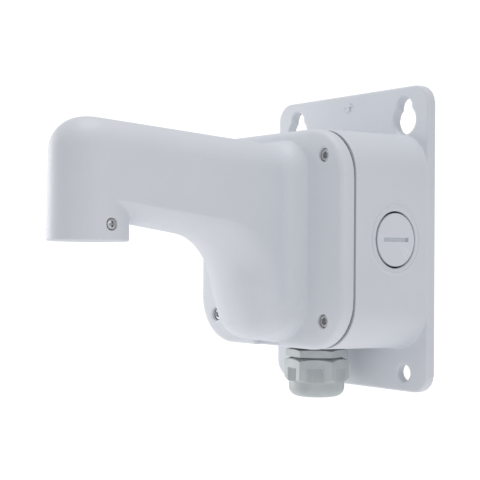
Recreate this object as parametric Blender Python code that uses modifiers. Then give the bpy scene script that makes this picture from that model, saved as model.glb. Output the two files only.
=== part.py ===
"""Wall arm and junction box that a pan-tilt-zoom camera hangs from.

Metres, +Z up. The origin is the centre of the wall plate's back face: the wall is the
plane y = 0, and the arm reaches out along -Y to the round end that takes the camera.
"""

import math

import bmesh
import bpy
from mathutils import Vector

# Clearances
GAP = 0.0003  # left between pieces that touch
THREAD_GAP = 0.0003  # round a thread, on the radius
CUT = 0.002  # how far a cutter runs past the face that it cuts

# Wall plate
PLATE_WIDTH = 0.1822
PLATE_HEIGHT = 0.250
PLATE_THICKNESS = 0.0084
PLATE_CORNER = 0.0155
PLATE_EDGE = 0.0014
KEYHOLE_X = 0.0652
KEYHOLE_Z = 0.0975
KEYHOLE_RADIUS = 0.0118
KEYHOLE_RISE = 0.0113  # from the round hole's centre to the centre of the slot's top
KEYHOLE_SLOT_RADIUS = 0.0075
PLATE_HOLE_X = 0.0655
PLATE_HOLE_Z = -0.1099
PLATE_HOLE_RADIUS = 0.0069
ARROW_Z = 0.1146
ARROW_HEIGHT = 0.0080
ARROW_WIDTH = 0.0098
ARROW_SHAFT = 0.0036
ARROW_RELIEF = 0.0005

# Box, cast in one with the plate
BOX_DEPTH = 0.087  # from the wall to the front rim
BOX_WIDTH = 0.1768  # at the rim
BOX_HEIGHT = 0.1726
BOX_CENTRE_Z = -0.0019
BOX_CORNER = 0.037
BOX_CORNER_AT_PLATE = 0.032
BOX_DRAFT = 0.0016  # how much each side stands further out at the plate than at the rim
BOX_WALL = 0.0060
BOX_FLOOR = 0.0092  # from the wall to the floor inside the box

# Screws that hold the arm on the box
ARM_SCREW_X = 0.0659
ARM_SCREW_TOP_Z = 0.0626
ARM_SCREW_BOTTOM_Z = -0.0653
ARM_SCREW_RADIUS = 0.0030
ARM_SCREW_LENGTH = 0.022
ARM_SCREW_HEAD_RADIUS = 0.0050
ARM_SCREW_HEAD = 0.0042
ARM_SCREW_SOCKET = 0.0050  # across flats
SOCKET_DEPTH = 0.0025
COUNTERBORE_RADIUS = ARM_SCREW_HEAD_RADIUS + 0.0004
COUNTERBORE_DEPTH = 0.0086
SPRING_WASHER = 0.0015
SCREW_BOSS_RADIUS = 0.0105
SCREW_BOSS_HOLE_DEPTH = 0.024

# Seal between box and arm
GASKET = 0.0010
GASKET_INSET = 0.0015  # from the box's outline
GASKET_WIDTH = 0.0042

# Arm: flange
FLANGE = 0.0120
FLANGE_CORNER = 0.0395
FLANGE_EDGE_WIDTH = 0.0050
FLANGE_EDGE_DEPTH = 0.0050
NOTCH_WIDTH = 0.033
NOTCH_HEIGHT = 0.0040
NOTCH_DEPTH = 0.0088

# Arm: body, from the round end's axis to the flange
ARM_REACH = 0.2695  # from the wall to the round end's axis
ARM_TOP_Z = 0.0828  # at the round end
ARM_TOP_SLOPE = 0.0572
ARM_TOP_EDGE = 0.0250
ARM_TOP_FLARE_RADIUS = 0.020
ARM_TOP_FLARE = 0.0112
ARM_HALF_WIDTH = 0.0290  # at the round end
ARM_SIDE_TAPER = 0.053
SIDE_FLARE_RADIUS = 0.020
SIDE_FLARE = 0.0178
ARM_WALL = 0.0050
KEEL_TIP_Z = 0.0117
KEEL_ELBOW = (0.1556, -0.0033)  # (distance from the wall, height)
KEEL_ELBOW_RADIUS = 0.053
KEEL_CHIN = (0.1295, -0.0805)
KEEL_CHIN_RADIUS = 0.018
KEEL_ROOT_Z = -0.0838
CREASE_TIP_Z = 0.0233
CREASE_ELBOW = (0.1135, 0.0055)
CREASE_ELBOW_RADIUS = 0.061
CREASE_FOOT_Z = -0.050
CREASE_ANGLE_AT_TIP = 0.80  # half the angle that the rounded underside turns through
CREASE_ANGLE_AT_ROOT = 1.50
CREASE_TURN_DONE = 0.714  # share of the arm's length by which the root's angle is reached
ROOT_SQUARENESS = 0.83
SQUARE_START = 0.667  # share of the arm's length at which the section starts to go square

# Arm: round end that takes the camera's pipe thread
END_RADIUS = 0.02965
END_DRAFT = 0.0008  # how much narrower the end is at the top
END_MOUTH_Z = -0.0064
MOUTH_BORE_RADIUS = 0.0224
MOUTH_THREAD_DEPTH = 0.0240
MOUTH_CHAMFER = 0.0010

# Screw that locks the camera in the end
LOCK_SCREW_BACK = 0.0021  # how far it sits behind the wallward side of the end's axis
LOCK_SCREW_Z = 0.0055
LOCK_SCREW_RADIUS = 0.0025
LOCK_SCREW_HEAD_RADIUS = 0.0038
LOCK_SCREW_HEAD = 0.0022
LOCK_WASHER = 0.0006
LOCK_WASHER_RADIUS = 0.0040
LOCK_RECESS_RADIUS = 0.0045
LOCK_RECESS = 0.0037

# Ports in the box's sides, each closed by a coin-slot plug
PORT_Y = -0.0440
PORT_Z = -0.0019
PORT_BOSS_RADIUS = 0.0278
PORT_BOSS_PROUD = 0.0007
PORT_BOSS_INNER_RADIUS = 0.0260
PORT_BOSS_DEPTH = 0.0140
PORT_THREAD_RADIUS = 0.0180
PLUG_HEAD_RADIUS = 0.0212
PORT_RECESS_RADIUS = PLUG_HEAD_RADIUS + 0.00115
PLUG_HEAD = 0.0040
PLUG_THREAD_LENGTH = 0.0105
PLUG_WALL = 0.0030
PLUG_SLOT_LENGTH = 0.0280
PLUG_SLOT_WIDTH = 0.0032
PLUG_SLOT_DEPTH = 0.0018
SEAL_SECTION = 0.0012  # radius of the O-ring's section

# Cable gland in the box's underside
GLAND_BOSS_RADIUS = 0.0280
GLAND_FACE_Z = -0.0910
GLAND_THREAD_RADIUS = 0.0200
GLAND_THREAD_LENGTH = 0.0170
GLAND_BORE_RADIUS = 0.0140
GLAND_COLLAR_FLATS = 0.0458
GLAND_COLLAR = 0.0063
GLAND_SEAL = 0.0010
GLAND_SEAL_RADIUS = 0.0222
GLAND_NUT_THREAD_RADIUS = 0.0208
GLAND_NUT_THREAD_LENGTH = 0.0190
GLAND_CUP_RADIUS = 0.0181
GLAND_CUP_DEPTH = 0.0130
LOCK_NUT_FLATS = 0.0500
LOCK_NUT = 0.0060
DOME_NUT_CLEARANCE = 0.0017  # between the collar and the dome nut
DOME_NUT_FLATS = 0.0470
DOME_NUT_HEX = 0.0197
DOME_NUT_CHAMFER = 0.0035
HEX_CORNER = math.radians(-15)  # a corner's angle from +X, seen from above
DOME_RADIUS = 0.0233
DOME = 0.0118
DOME_EDGE = 0.0077
DOME_MOUTH_RADIUS = 0.0125
DOME_WALL = 0.0026
CLAMP_RING_WALL = 0.0022
CLAMP_SLITS = 8
CLAMP_SLIT_WIDTH = 0.0014
CLAMP_SLIT_DEPTH = 0.0120
CABLE_RADIUS = 0.0085
BUSH_LENGTH = 0.0160

# Earth point and safety-rope hook on the box's floor
SMALL_SCREW_RADIUS = 0.0020
SMALL_SCREW_HEAD_RADIUS = 0.0038
SMALL_SCREW_HEAD = 0.0028
SMALL_SCREW_LENGTH = 0.0090
SMALL_HOLE_DEPTH = 0.0056
CROSS_REACH = 1.2  # of the head's radius, across the cross recess of a pan head
CROSS_WIDTH = 0.28
CROSS_DEPTH = 0.35
EARTH_X = -0.040
EARTH_Z = 0.040
EARTH_WASHER = 0.0010
EARTH_WASHER_RADIUS = 0.0042
EARTH_TERMINAL = 0.0010
EARTH_TERMINAL_RADIUS = 0.0050
EARTH_BARREL_LENGTH = 0.012
EARTH_BARREL_WIDTH = 0.0046
EARTH_BARREL_HEIGHT = 0.0040
HOOK_X = 0.036
HOOK_Z = 0.040
HOOK_SHEET = 0.0020
HOOK_WIDTH = 0.0160
HOOK_FOOT = 0.0200
HOOK_RISE = 0.0240
HOOK_EYE_RADIUS = 0.0045

# How finely round shapes are cut
TURN_STEPS = 32
SEAL_STEPS = 24
SMALL_STEPS = 16
CORNER_STEPS = 5
EDGE_STEPS = 4
KEEL_COUNTS = (4, 6, 1, 4, 1)  # steps on each straight run and each arc between them
CREASE_COUNTS = (4, 6, 6)
UNDERSIDE_STEPS = 6
TOP_EDGE_STEPS = 4

# Places that follow from the sizes above
BOX_RIM_Y = -BOX_DEPTH
FLANGE_BACK_Y = BOX_RIM_Y - GASKET - 2 * GAP
FLANGE_FRONT_Y = FLANGE_BACK_Y - FLANGE
PLATE_FRONT_Y = -PLATE_THICKNESS
FLOOR_Y = -BOX_FLOOR
END_Y = -ARM_REACH
BOX_BOTTOM_Z = BOX_CENTRE_Z - BOX_HEIGHT / 2
PORT_GROWTH = BOX_DRAFT * (PORT_Y - BOX_RIM_Y) / BOX_DEPTH
PORT_FACE_X = BOX_WIDTH / 2 + PORT_GROWTH + PORT_BOSS_PROUD
PORT_SEAT_X = PORT_FACE_X - PLUG_HEAD - 2 * SEAL_SECTION - 2 * GAP
LOCK_SCREW_Y = END_Y + LOCK_SCREW_BACK
LOCK_SEAT_X = math.sqrt(END_RADIUS**2 - LOCK_SCREW_BACK**2) - LOCK_RECESS
ARM_SCREW_PLACES = (
    (ARM_SCREW_X, ARM_SCREW_TOP_Z),
    (-ARM_SCREW_X, ARM_SCREW_TOP_Z),
    (-ARM_SCREW_X, ARM_SCREW_BOTTOM_Z),
    (ARM_SCREW_X, ARM_SCREW_BOTTOM_Z),
)

TOWARDS_X = (0.0, math.radians(90), 0.0)
TOWARDS_MINUS_X = (0.0, math.radians(-90), 0.0)
TOWARDS_FRONT = (math.radians(90), 0.0, 0.0)
TOWARDS_DOWN = (math.radians(180), 0.0, 0.0)
UPRIGHT = (0.0, 0.0, 0.0)


# ---------------------------------------------------------------- scene and materials


def clear_scene():
    for obj in list(bpy.data.objects):
        bpy.data.objects.remove(obj, do_unlink=True)


def collection(name):
    made = bpy.data.collections.new(name)
    bpy.context.scene.collection.children.link(made)
    return made


def material(name, colour, roughness, metallic):
    made = bpy.data.materials.new(name)
    made.use_nodes = True
    shader = made.node_tree.nodes["Principled BSDF"]
    shader.inputs["Base Color"].default_value = (*colour, 1.0)
    shader.inputs["Roughness"].default_value = roughness
    shader.inputs["Metallic"].default_value = metallic
    made.diffuse_color = (*colour, 1.0)
    return made


clear_scene()
PARTS = collection("camera_wall_arm")
CUTTERS = collection("cutters")
POWDER_COAT = material("white_powder_coat", (0.74, 0.75, 0.77), 0.45, 0.0)
GLAND_PLASTIC = material("grey_nylon", (0.47, 0.49, 0.49), 0.50, 0.0)
SCREW_STEEL = material("stainless_steel", (0.45, 0.45, 0.46), 0.35, 1.0)
SEAL_RUBBER = material("black_rubber", (0.02, 0.02, 0.02), 0.80, 0.0)
TINNED_BRASS = material("tinned_brass", (0.70, 0.66, 0.52), 0.35, 1.0)


# ---------------------------------------------------------------- making meshes


def add_object(name, mesh, group, coat=None):
    obj = bpy.data.objects.new(name, mesh)
    group.objects.link(obj)
    if coat is None:
        obj.hide_render = True
        obj.display_type = "WIRE"
    else:
        mesh.materials.append(coat)
    return obj


def mesh_from(bm, name):
    bmesh.ops.recalc_face_normals(bm, faces=bm.faces)
    if bm.calc_volume(signed=True) < 0:
        bmesh.ops.reverse_faces(bm, faces=bm.faces)
    mesh = bpy.data.meshes.new(name)
    bm.to_mesh(mesh)
    bm.free()
    return mesh


def smooth(obj, angle=math.radians(32)):
    obj.data.shade_smooth()
    obj.data.set_sharp_from_angle(angle=angle)


def box_mesh(name, low, high):
    bm = bmesh.new()
    bmesh.ops.create_cube(bm, size=1.0)
    low, high = Vector(low), Vector(high)
    for vert in bm.verts:
        vert.co = [low[i] + (vert.co[i] + 0.5) * (high[i] - low[i]) for i in range(3)]
    return mesh_from(bm, name)


def prism_mesh(name, sides, radius, height):
    """An upright prism or cylinder that stands on z = 0, with a corner towards +Y."""
    bm = bmesh.new()
    bmesh.ops.create_cone(
        bm, cap_ends=True, segments=sides, radius1=radius, radius2=radius, depth=height
    )
    bmesh.ops.translate(bm, verts=bm.verts, vec=(0, 0, height / 2))
    return mesh_from(bm, name)


def loft_mesh(name, rings):
    """A closed solid through rings that hold the same number of points."""
    bm = bmesh.new()
    rows = [[bm.verts.new(point) for point in ring] for ring in rings]
    for near, far in zip(rows, rows[1:]):
        for i in range(len(near)):
            bm.faces.new((near[i - 1], near[i], far[i], far[i - 1]))
    bm.faces.new(rows[0])
    bm.faces.new(rows[-1])
    return mesh_from(bm, name)


def outline_mesh(name, outline, near_y, far_y):
    """An outline of (x, z) points, made solid between two planes that face the wall."""
    return loft_mesh(name, [[(x, y, z) for x, z in outline] for y in (near_y, far_y)])


def turned(name, profile, group, coat, place, turn, steps=TURN_STEPS):
    """A solid of revolution about local Z. The profile runs down its outer side."""
    bm = bmesh.new()
    verts = [bm.verts.new((radius, 0, height)) for radius, height in profile]
    for first, second in zip(verts, verts[1:]):
        bm.edges.new((first, second))
    if profile[0][0] > 0:
        bm.edges.new((verts[-1], verts[0]))
    mesh = bpy.data.meshes.new(name)
    bm.to_mesh(mesh)
    bm.free()
    obj = add_object(name, mesh, group, coat)
    screw = obj.modifiers.new("turn", "SCREW")
    screw.axis = "Z"
    screw.steps = steps
    screw.render_steps = steps
    screw.use_merge_vertices = True
    screw.merge_threshold = 0.00001
    obj.location = place
    obj.rotation_euler = turn
    return obj


def cylinder_cutter(name, radius, start, turn, length, steps=SMALL_STEPS):
    obj = add_object(name, prism_mesh(name, steps, radius, length), CUTTERS)
    obj.location = start
    obj.rotation_euler = turn
    return obj


def combine(target, other, operation):
    modifier = target.modifiers.new(other.name, "BOOLEAN")
    modifier.operation = operation
    modifier.solver = "EXACT"
    modifier.object = other


def cut(target, *cutters):
    for cutter in cutters:
        combine(target, cutter, "DIFFERENCE")


def join(target, *others):
    for other in others:
        combine(target, other, "UNION")


def arc(centre, radius, start, end, steps):
    """Points on an arc, by angles in degrees."""
    angles = [math.radians(start + (end - start) * i / steps) for i in range(steps + 1)]
    return [
        (centre[0] + radius * math.cos(a), centre[1] + radius * math.sin(a))
        for a in angles
    ]


def rounded_rectangle(width, height, radius, centre_z, steps=CORNER_STEPS):
    """(x, z) points round a rectangle with round corners."""
    points = []
    across, up = width / 2 - radius, height / 2 - radius
    for quarter, (x, z) in enumerate(((1, 1), (-1, 1), (-1, -1), (1, -1))):
        centre = (x * across, centre_z + z * up)
        points += arc(centre, radius, 90 * quarter, 90 * quarter + 90, steps)
    return points


def at_depth(outline, y):
    return [(x, y, z) for x, z in outline]


# ---------------------------------------------------------------- box and wall plate


def box_growth(y):
    """How far the box's side has moved out by draft at this distance from the wall."""
    return BOX_DRAFT * (y - BOX_RIM_Y) / BOX_DEPTH


def box_ring(y, inset):
    share = (y - BOX_RIM_Y) / BOX_DEPTH
    corner = BOX_CORNER + (BOX_CORNER_AT_PLATE - BOX_CORNER) * share
    grow = 2 * (box_growth(y) - inset)
    outline = rounded_rectangle(
        BOX_WIDTH + grow, BOX_HEIGHT + grow, corner - inset, BOX_CENTRE_Z
    )
    return at_depth(outline, y)


def plate_mesh(name):
    bm = bmesh.new()
    bmesh.ops.create_cube(bm, size=1.0)
    for vert in bm.verts:
        vert.co.x *= PLATE_WIDTH
        vert.co.y = (vert.co.y - 0.5) * PLATE_THICKNESS
        vert.co.z *= PLATE_HEIGHT
    through = [
        edge
        for edge in bm.edges
        if abs(edge.verts[0].co.y - edge.verts[1].co.y) > PLATE_THICKNESS / 2
    ]
    bmesh.ops.bevel(
        bm, geom=through, offset=PLATE_CORNER, segments=CORNER_STEPS, affect="EDGES", profile=0.5
    )
    front = [
        edge
        for edge in bm.edges
        if max(abs(vert.co.y + PLATE_THICKNESS) for vert in edge.verts) < GAP
    ]
    bmesh.ops.bevel(
        bm, geom=front, offset=PLATE_EDGE, segments=2, affect="EDGES", profile=0.5
    )
    return mesh_from(bm, name)


def keyhole_cutters(side):
    x = side * KEYHOLE_X
    name = "keyhole_right" if side > 0 else "keyhole_left"
    length = PLATE_THICKNESS + 2 * CUT
    top_z = KEYHOLE_Z + KEYHOLE_RISE
    slot = box_mesh(
        name + "_slot",
        (x - KEYHOLE_SLOT_RADIUS, -PLATE_THICKNESS - CUT, KEYHOLE_Z),
        (x + KEYHOLE_SLOT_RADIUS, CUT, top_z),
    )
    return (
        cylinder_cutter(name, KEYHOLE_RADIUS, (x, CUT, KEYHOLE_Z), TOWARDS_FRONT, length),
        add_object(name + "_slot", slot, CUTTERS),
        cylinder_cutter(
            name + "_top", KEYHOLE_SLOT_RADIUS, (x, CUT, top_z), TOWARDS_FRONT, length
        ),
    )


def arrow_outline():
    tip = ARROW_Z + ARROW_HEIGHT / 2
    foot = ARROW_Z - ARROW_HEIGHT / 2
    barb = ARROW_Z
    half, shaft = ARROW_WIDTH / 2, ARROW_SHAFT / 2
    right = [(0, tip), (half, barb), (shaft, barb), (shaft, foot)]
    return right + [(-x, z) for x, z in reversed(right[1:])]


def side_port(side):
    """Boss and cutters of one side port: (boss, recess, thread)."""
    name = "right" if side > 0 else "left"
    out = TOWARDS_X if side > 0 else TOWARDS_MINUS_X
    face = side * PORT_FACE_X
    inner = face - side * PORT_BOSS_DEPTH
    edge = PORT_BOSS_RADIUS - PORT_BOSS_INNER_RADIUS
    boss = turned(
        "port_boss_" + name,
        [
            (0, PORT_BOSS_DEPTH),
            (PORT_BOSS_RADIUS - PORT_BOSS_PROUD, PORT_BOSS_DEPTH),
            (PORT_BOSS_RADIUS, PORT_BOSS_DEPTH - PORT_BOSS_PROUD),
            (PORT_BOSS_RADIUS, PORT_BOSS_DEPTH / 2),
            (PORT_BOSS_INNER_RADIUS, PORT_BOSS_DEPTH / 2 - edge),
            (PORT_BOSS_INNER_RADIUS, 0),
            (0, 0),
        ],
        CUTTERS,
        None,
        (inner, PORT_Y, PORT_Z),
        out,
    )
    recess = cylinder_cutter(
        "port_recess_" + name,
        PORT_RECESS_RADIUS,
        (side * PORT_SEAT_X, PORT_Y, PORT_Z),
        out,
        PORT_FACE_X - PORT_SEAT_X + CUT,
        TURN_STEPS,
    )
    thread = cylinder_cutter(
        "port_thread_" + name,
        PORT_THREAD_RADIUS + THREAD_GAP,
        (inner - side * CUT, PORT_Y, PORT_Z),
        out,
        PORT_BOSS_DEPTH,
        TURN_STEPS,
    )
    return boss, recess, thread


def make_housing():
    housing = add_object(
        "junction_box_housing", plate_mesh("junction_box_housing"), PARTS, POWDER_COAT
    )
    shell = loft_mesh("box_shell", [box_ring(BOX_RIM_Y, 0), box_ring(PLATE_FRONT_Y / 2, 0)])
    join(housing, add_object("box_shell", shell, CUTTERS))
    hollow = loft_mesh(
        "box_hollow",
        [box_ring(BOX_RIM_Y - CUT, BOX_WALL), box_ring(FLOOR_Y, BOX_WALL)],
    )
    cut(housing, add_object("box_hollow", hollow, CUTTERS))
    boss_start_y = PLATE_FRONT_Y / 2
    boss_length = boss_start_y - BOX_RIM_Y - GAP
    for number, (x, z) in enumerate(ARM_SCREW_PLACES, 1):
        boss = cylinder_cutter(
            f"screw_boss_{number}",
            SCREW_BOSS_RADIUS,
            (x, boss_start_y, z),
            TOWARDS_FRONT,
            boss_length,
        )
        join(housing, boss)
        hole = cylinder_cutter(
            f"screw_boss_hole_{number}",
            ARM_SCREW_RADIUS + THREAD_GAP,
            (x, BOX_RIM_Y + SCREW_BOSS_HOLE_DEPTH, z),
            TOWARDS_FRONT,
            SCREW_BOSS_HOLE_DEPTH + CUT,
        )
        cut(housing, hole)
    for side in (1, -1):
        boss, recess, thread = side_port(side)
        join(housing, boss)
        cut(housing, recess, thread)
    wall_inside_z = BOX_BOTTOM_Z + BOX_WALL
    gland_boss = cylinder_cutter(
        "gland_boss",
        GLAND_BOSS_RADIUS,
        (0, PORT_Y, wall_inside_z - BOX_WALL / 3),
        TOWARDS_DOWN,
        wall_inside_z - BOX_WALL / 3 - GLAND_FACE_Z,
        TURN_STEPS,
    )
    join(housing, gland_boss)
    gland_hole = cylinder_cutter(
        "gland_hole",
        GLAND_THREAD_RADIUS + THREAD_GAP,
        (0, PORT_Y, wall_inside_z + CUT),
        TOWARDS_DOWN,
        wall_inside_z - GLAND_FACE_Z + 2 * CUT,
        TURN_STEPS,
    )
    cut(housing, gland_hole)
    for name, x, z in (("earth", EARTH_X, EARTH_Z), ("hook", HOOK_X, HOOK_Z)):
        hole = cylinder_cutter(
            name + "_hole",
            SMALL_SCREW_RADIUS + THREAD_GAP,
            (x, FLOOR_Y + SMALL_HOLE_DEPTH, z),
            TOWARDS_FRONT,
            SMALL_HOLE_DEPTH + CUT,
        )
        cut(housing, hole)
    for side in (1, -1):
        cut(housing, *keyhole_cutters(side))
        corner_hole = cylinder_cutter(
            "plate_hole_right" if side > 0 else "plate_hole_left",
            PLATE_HOLE_RADIUS,
            (side * PLATE_HOLE_X, CUT, PLATE_HOLE_Z),
            TOWARDS_FRONT,
            PLATE_THICKNESS + 2 * CUT,
        )
        cut(housing, corner_hole)
    relief_y = PLATE_FRONT_Y - ARROW_RELIEF
    arrow = outline_mesh("plate_arrow", arrow_outline(), PLATE_FRONT_Y / 2, relief_y)
    join(housing, add_object("plate_arrow", arrow, CUTTERS))
    smooth(housing)


def make_gasket():
    near, far = BOX_RIM_Y - GAP, BOX_RIM_Y - GAP - GASKET

    def ring(inset, y):
        size = -2 * inset
        outline = rounded_rectangle(
            BOX_WIDTH + size, BOX_HEIGHT + size, BOX_CORNER - inset, BOX_CENTRE_Z
        )
        return at_depth(outline, y)

    outer = loft_mesh("box_gasket", [ring(GASKET_INSET, near), ring(GASKET_INSET, far)])
    gasket = add_object("box_gasket", outer, PARTS, SEAL_RUBBER)
    inset = GASKET_INSET + GASKET_WIDTH
    hole = loft_mesh("gasket_hole", [ring(inset, near + CUT), ring(inset, far - CUT)])
    cut(gasket, add_object("gasket_hole", hole, CUTTERS))
    smooth(gasket)


# ---------------------------------------------------------------- arm


def filleted_path(corners, radii, counts):
    """Points along straight runs whose corners are rounded. counts holds how many steps
    each straight run and each arc between them takes."""
    corners = [Vector(corner) for corner in corners]
    starts, ends = [corners[0]], []
    bends = []
    for before, corner, after, radius in zip(corners, corners[1:], corners[2:], radii):
        inward = (before - corner).normalized()
        onward = (after - corner).normalized()
        half_turn = (math.pi - inward.angle(onward)) / 2
        reach = radius * math.tan(half_turn)
        centre = corner + (inward + onward).normalized() * radius / math.cos(half_turn)
        bends.append((corner + inward * reach, corner + onward * reach, centre))
        ends.append(corner + inward * reach)
        starts.append(corner + onward * reach)
    ends.append(corners[-1])
    points = [corners[0]]
    for i, (start, end) in enumerate(zip(starts, ends)):
        steps = counts[2 * i]
        points += [start.lerp(end, k / steps) for k in range(1, steps + 1)]
        if i < len(bends):
            first, last, centre = bends[i]
            steps = counts[2 * i + 1]
            for k in range(1, steps + 1):
                spoke = (first - centre).slerp(last - centre, k / steps).normalized()
                points.append(centre + spoke * radii[i])
    return points


def arm_half_width(y, flared=True):
    width = ARM_HALF_WIDTH + ARM_SIDE_TAPER * (y - END_Y)
    into = y - (FLANGE_FRONT_Y - SIDE_FLARE)
    if flared and into > 0:
        width += SIDE_FLARE_RADIUS - math.sqrt(SIDE_FLARE_RADIUS**2 - min(into, SIDE_FLARE) ** 2)
    return width


def arm_top(y, flared=True):
    height = ARM_TOP_Z - ARM_TOP_SLOPE * (y - END_Y)
    into = y - (FLANGE_FRONT_Y - ARM_TOP_FLARE)
    if flared and into > 0:
        height += ARM_TOP_FLARE_RADIUS - math.sqrt(
            ARM_TOP_FLARE_RADIUS**2 - min(into, ARM_TOP_FLARE) ** 2
        )
    return height


def keel_points():
    """The lowest line of the arm's body, as (y, z) from the round end to the flange."""
    corners = [
        (END_Y, KEEL_TIP_Z),
        (-KEEL_ELBOW[0], KEEL_ELBOW[1]),
        (-KEEL_CHIN[0], KEEL_CHIN[1]),
        (FLANGE_FRONT_Y, KEEL_ROOT_Z),
    ]
    return filleted_path(corners, (KEEL_ELBOW_RADIUS, KEEL_CHIN_RADIUS), KEEL_COUNTS)


def crease_points():
    """The line where the arm's flat side meets its rounded underside."""
    foot_y = -CREASE_ELBOW[0]
    corners = [(END_Y, CREASE_TIP_Z), (foot_y, CREASE_ELBOW[1]), (foot_y, CREASE_FOOT_Z)]
    counts = (CREASE_COUNTS[0], CREASE_COUNTS[1], 1)
    points = filleted_path(corners, (CREASE_ELBOW_RADIUS,), counts)
    steps = CREASE_COUNTS[2] - 1
    foot = points[-1]
    root = Vector((FLANGE_FRONT_Y, CREASE_FOOT_Z))
    return points + [foot.lerp(root, k / steps) for k in range(1, steps + 1)]


def arm_half_ring(keel, crease, top_y, share, inset, flared):
    """Half of one section of the arm's body, from the keel up to the top's centre line."""
    upper = Vector((top_y, arm_top(top_y, flared) - inset - ARM_TOP_EDGE))
    crease = crease + (upper - crease).normalized() * inset
    width = arm_half_width(crease.x, flared) - inset
    opened = min(1, share / CREASE_TURN_DONE)
    angle = CREASE_ANGLE_AT_TIP + (CREASE_ANGLE_AT_ROOT - CREASE_ANGLE_AT_TIP) * opened
    squared = max(0, (share - SQUARE_START) / (1 - SQUARE_START))
    square = 1 + (ROOT_SQUARENESS - 1) * squared
    points = []
    for i in range(UNDERSIDE_STEPS + 1):
        turn = angle * i / UNDERSIDE_STEPS
        across = (math.sin(turn) / math.sin(angle)) ** square
        down = (max(0, math.cos(turn) - math.cos(angle)) / (1 - math.cos(angle))) ** square
        middle = crease.lerp(keel, down)
        points.append((width * across, middle.x, middle.y))
    points.append((arm_half_width(upper.x, flared) - inset, upper.x, upper.y))
    edge = ARM_TOP_EDGE - inset
    width = arm_half_width(top_y, flared) - inset
    top = arm_top(top_y, flared) - inset
    for x, z in arc((width - edge, top - edge), edge, 0, 90, TOP_EDGE_STEPS)[1:]:
        points.append((x, top_y, z))
    points.append((0, top_y, top))
    return points


def whole_ring(half):
    return half + [(-x, y, z) for x, y, z in reversed(half[1:-1])]


def arm_rings(inset, flared):
    keel, crease = keel_points(), crease_points()
    travelled = [0.0]
    for before, after in zip(crease, crease[1:]):
        travelled.append(travelled[-1] + (after - before).length)
    rings = []
    for i, (low, middle) in enumerate(zip(keel, crease)):
        share = travelled[i] / travelled[-1]
        ahead = keel[min(i + 1, len(keel) - 1)] - keel[max(i - 1, 0)]
        inward = Vector((-ahead.y, ahead.x)).normalized()
        top_y = END_Y + (FLANGE_FRONT_Y - END_Y) * share
        half = arm_half_ring(low + inward * inset, middle, top_y, share, inset, flared)
        rings.append(whole_ring(half))
    return rings


def flange_ring(inset, y):
    outline = rounded_rectangle(
        BOX_WIDTH - 2 * inset, BOX_HEIGHT - 2 * inset, FLANGE_CORNER - inset, BOX_CENTRE_Z
    )
    return at_depth(outline, y)


def flange_mesh(name):
    rings = [flange_ring(0, FLANGE_BACK_Y)]
    for i in range(EDGE_STEPS + 1):
        turn = math.radians(90 * i / EDGE_STEPS)
        inset = FLANGE_EDGE_WIDTH * (1 - math.cos(turn))
        y = FLANGE_FRONT_Y + FLANGE_EDGE_DEPTH * (1 - math.sin(turn))
        rings.append(flange_ring(inset, y))
    return loft_mesh(name, rings)


def end_outside():
    edge = ARM_TOP_EDGE
    top_radius = END_RADIUS - END_DRAFT
    shoulder = arc((top_radius - edge, ARM_TOP_Z - edge), edge, 90, 0, 6)
    profile = [(0, ARM_TOP_Z)] + shoulder
    profile += [
        (END_RADIUS, END_MOUTH_Z + MOUTH_CHAMFER),
        (END_RADIUS - MOUTH_CHAMFER, END_MOUTH_Z),
        (0, END_MOUTH_Z),
    ]
    return profile


def end_inside():
    edge = ARM_TOP_EDGE - ARM_WALL
    radius = END_RADIUS - END_DRAFT - ARM_WALL
    top = ARM_TOP_Z - ARM_WALL
    thread_top = END_MOUTH_Z + MOUTH_THREAD_DEPTH
    widening = radius - MOUTH_BORE_RADIUS
    profile = [(0, top)] + arc((radius - edge, top - edge), edge, 90, 0, 5)
    profile += [
        (radius, thread_top + widening),
        (MOUTH_BORE_RADIUS, thread_top),
        (MOUTH_BORE_RADIUS, END_MOUTH_Z + MOUTH_CHAMFER),
        (MOUTH_BORE_RADIUS + 2 * MOUTH_CHAMFER, END_MOUTH_Z - MOUTH_CHAMFER),
        (0, END_MOUTH_Z - MOUTH_CHAMFER),
    ]
    return profile


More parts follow.
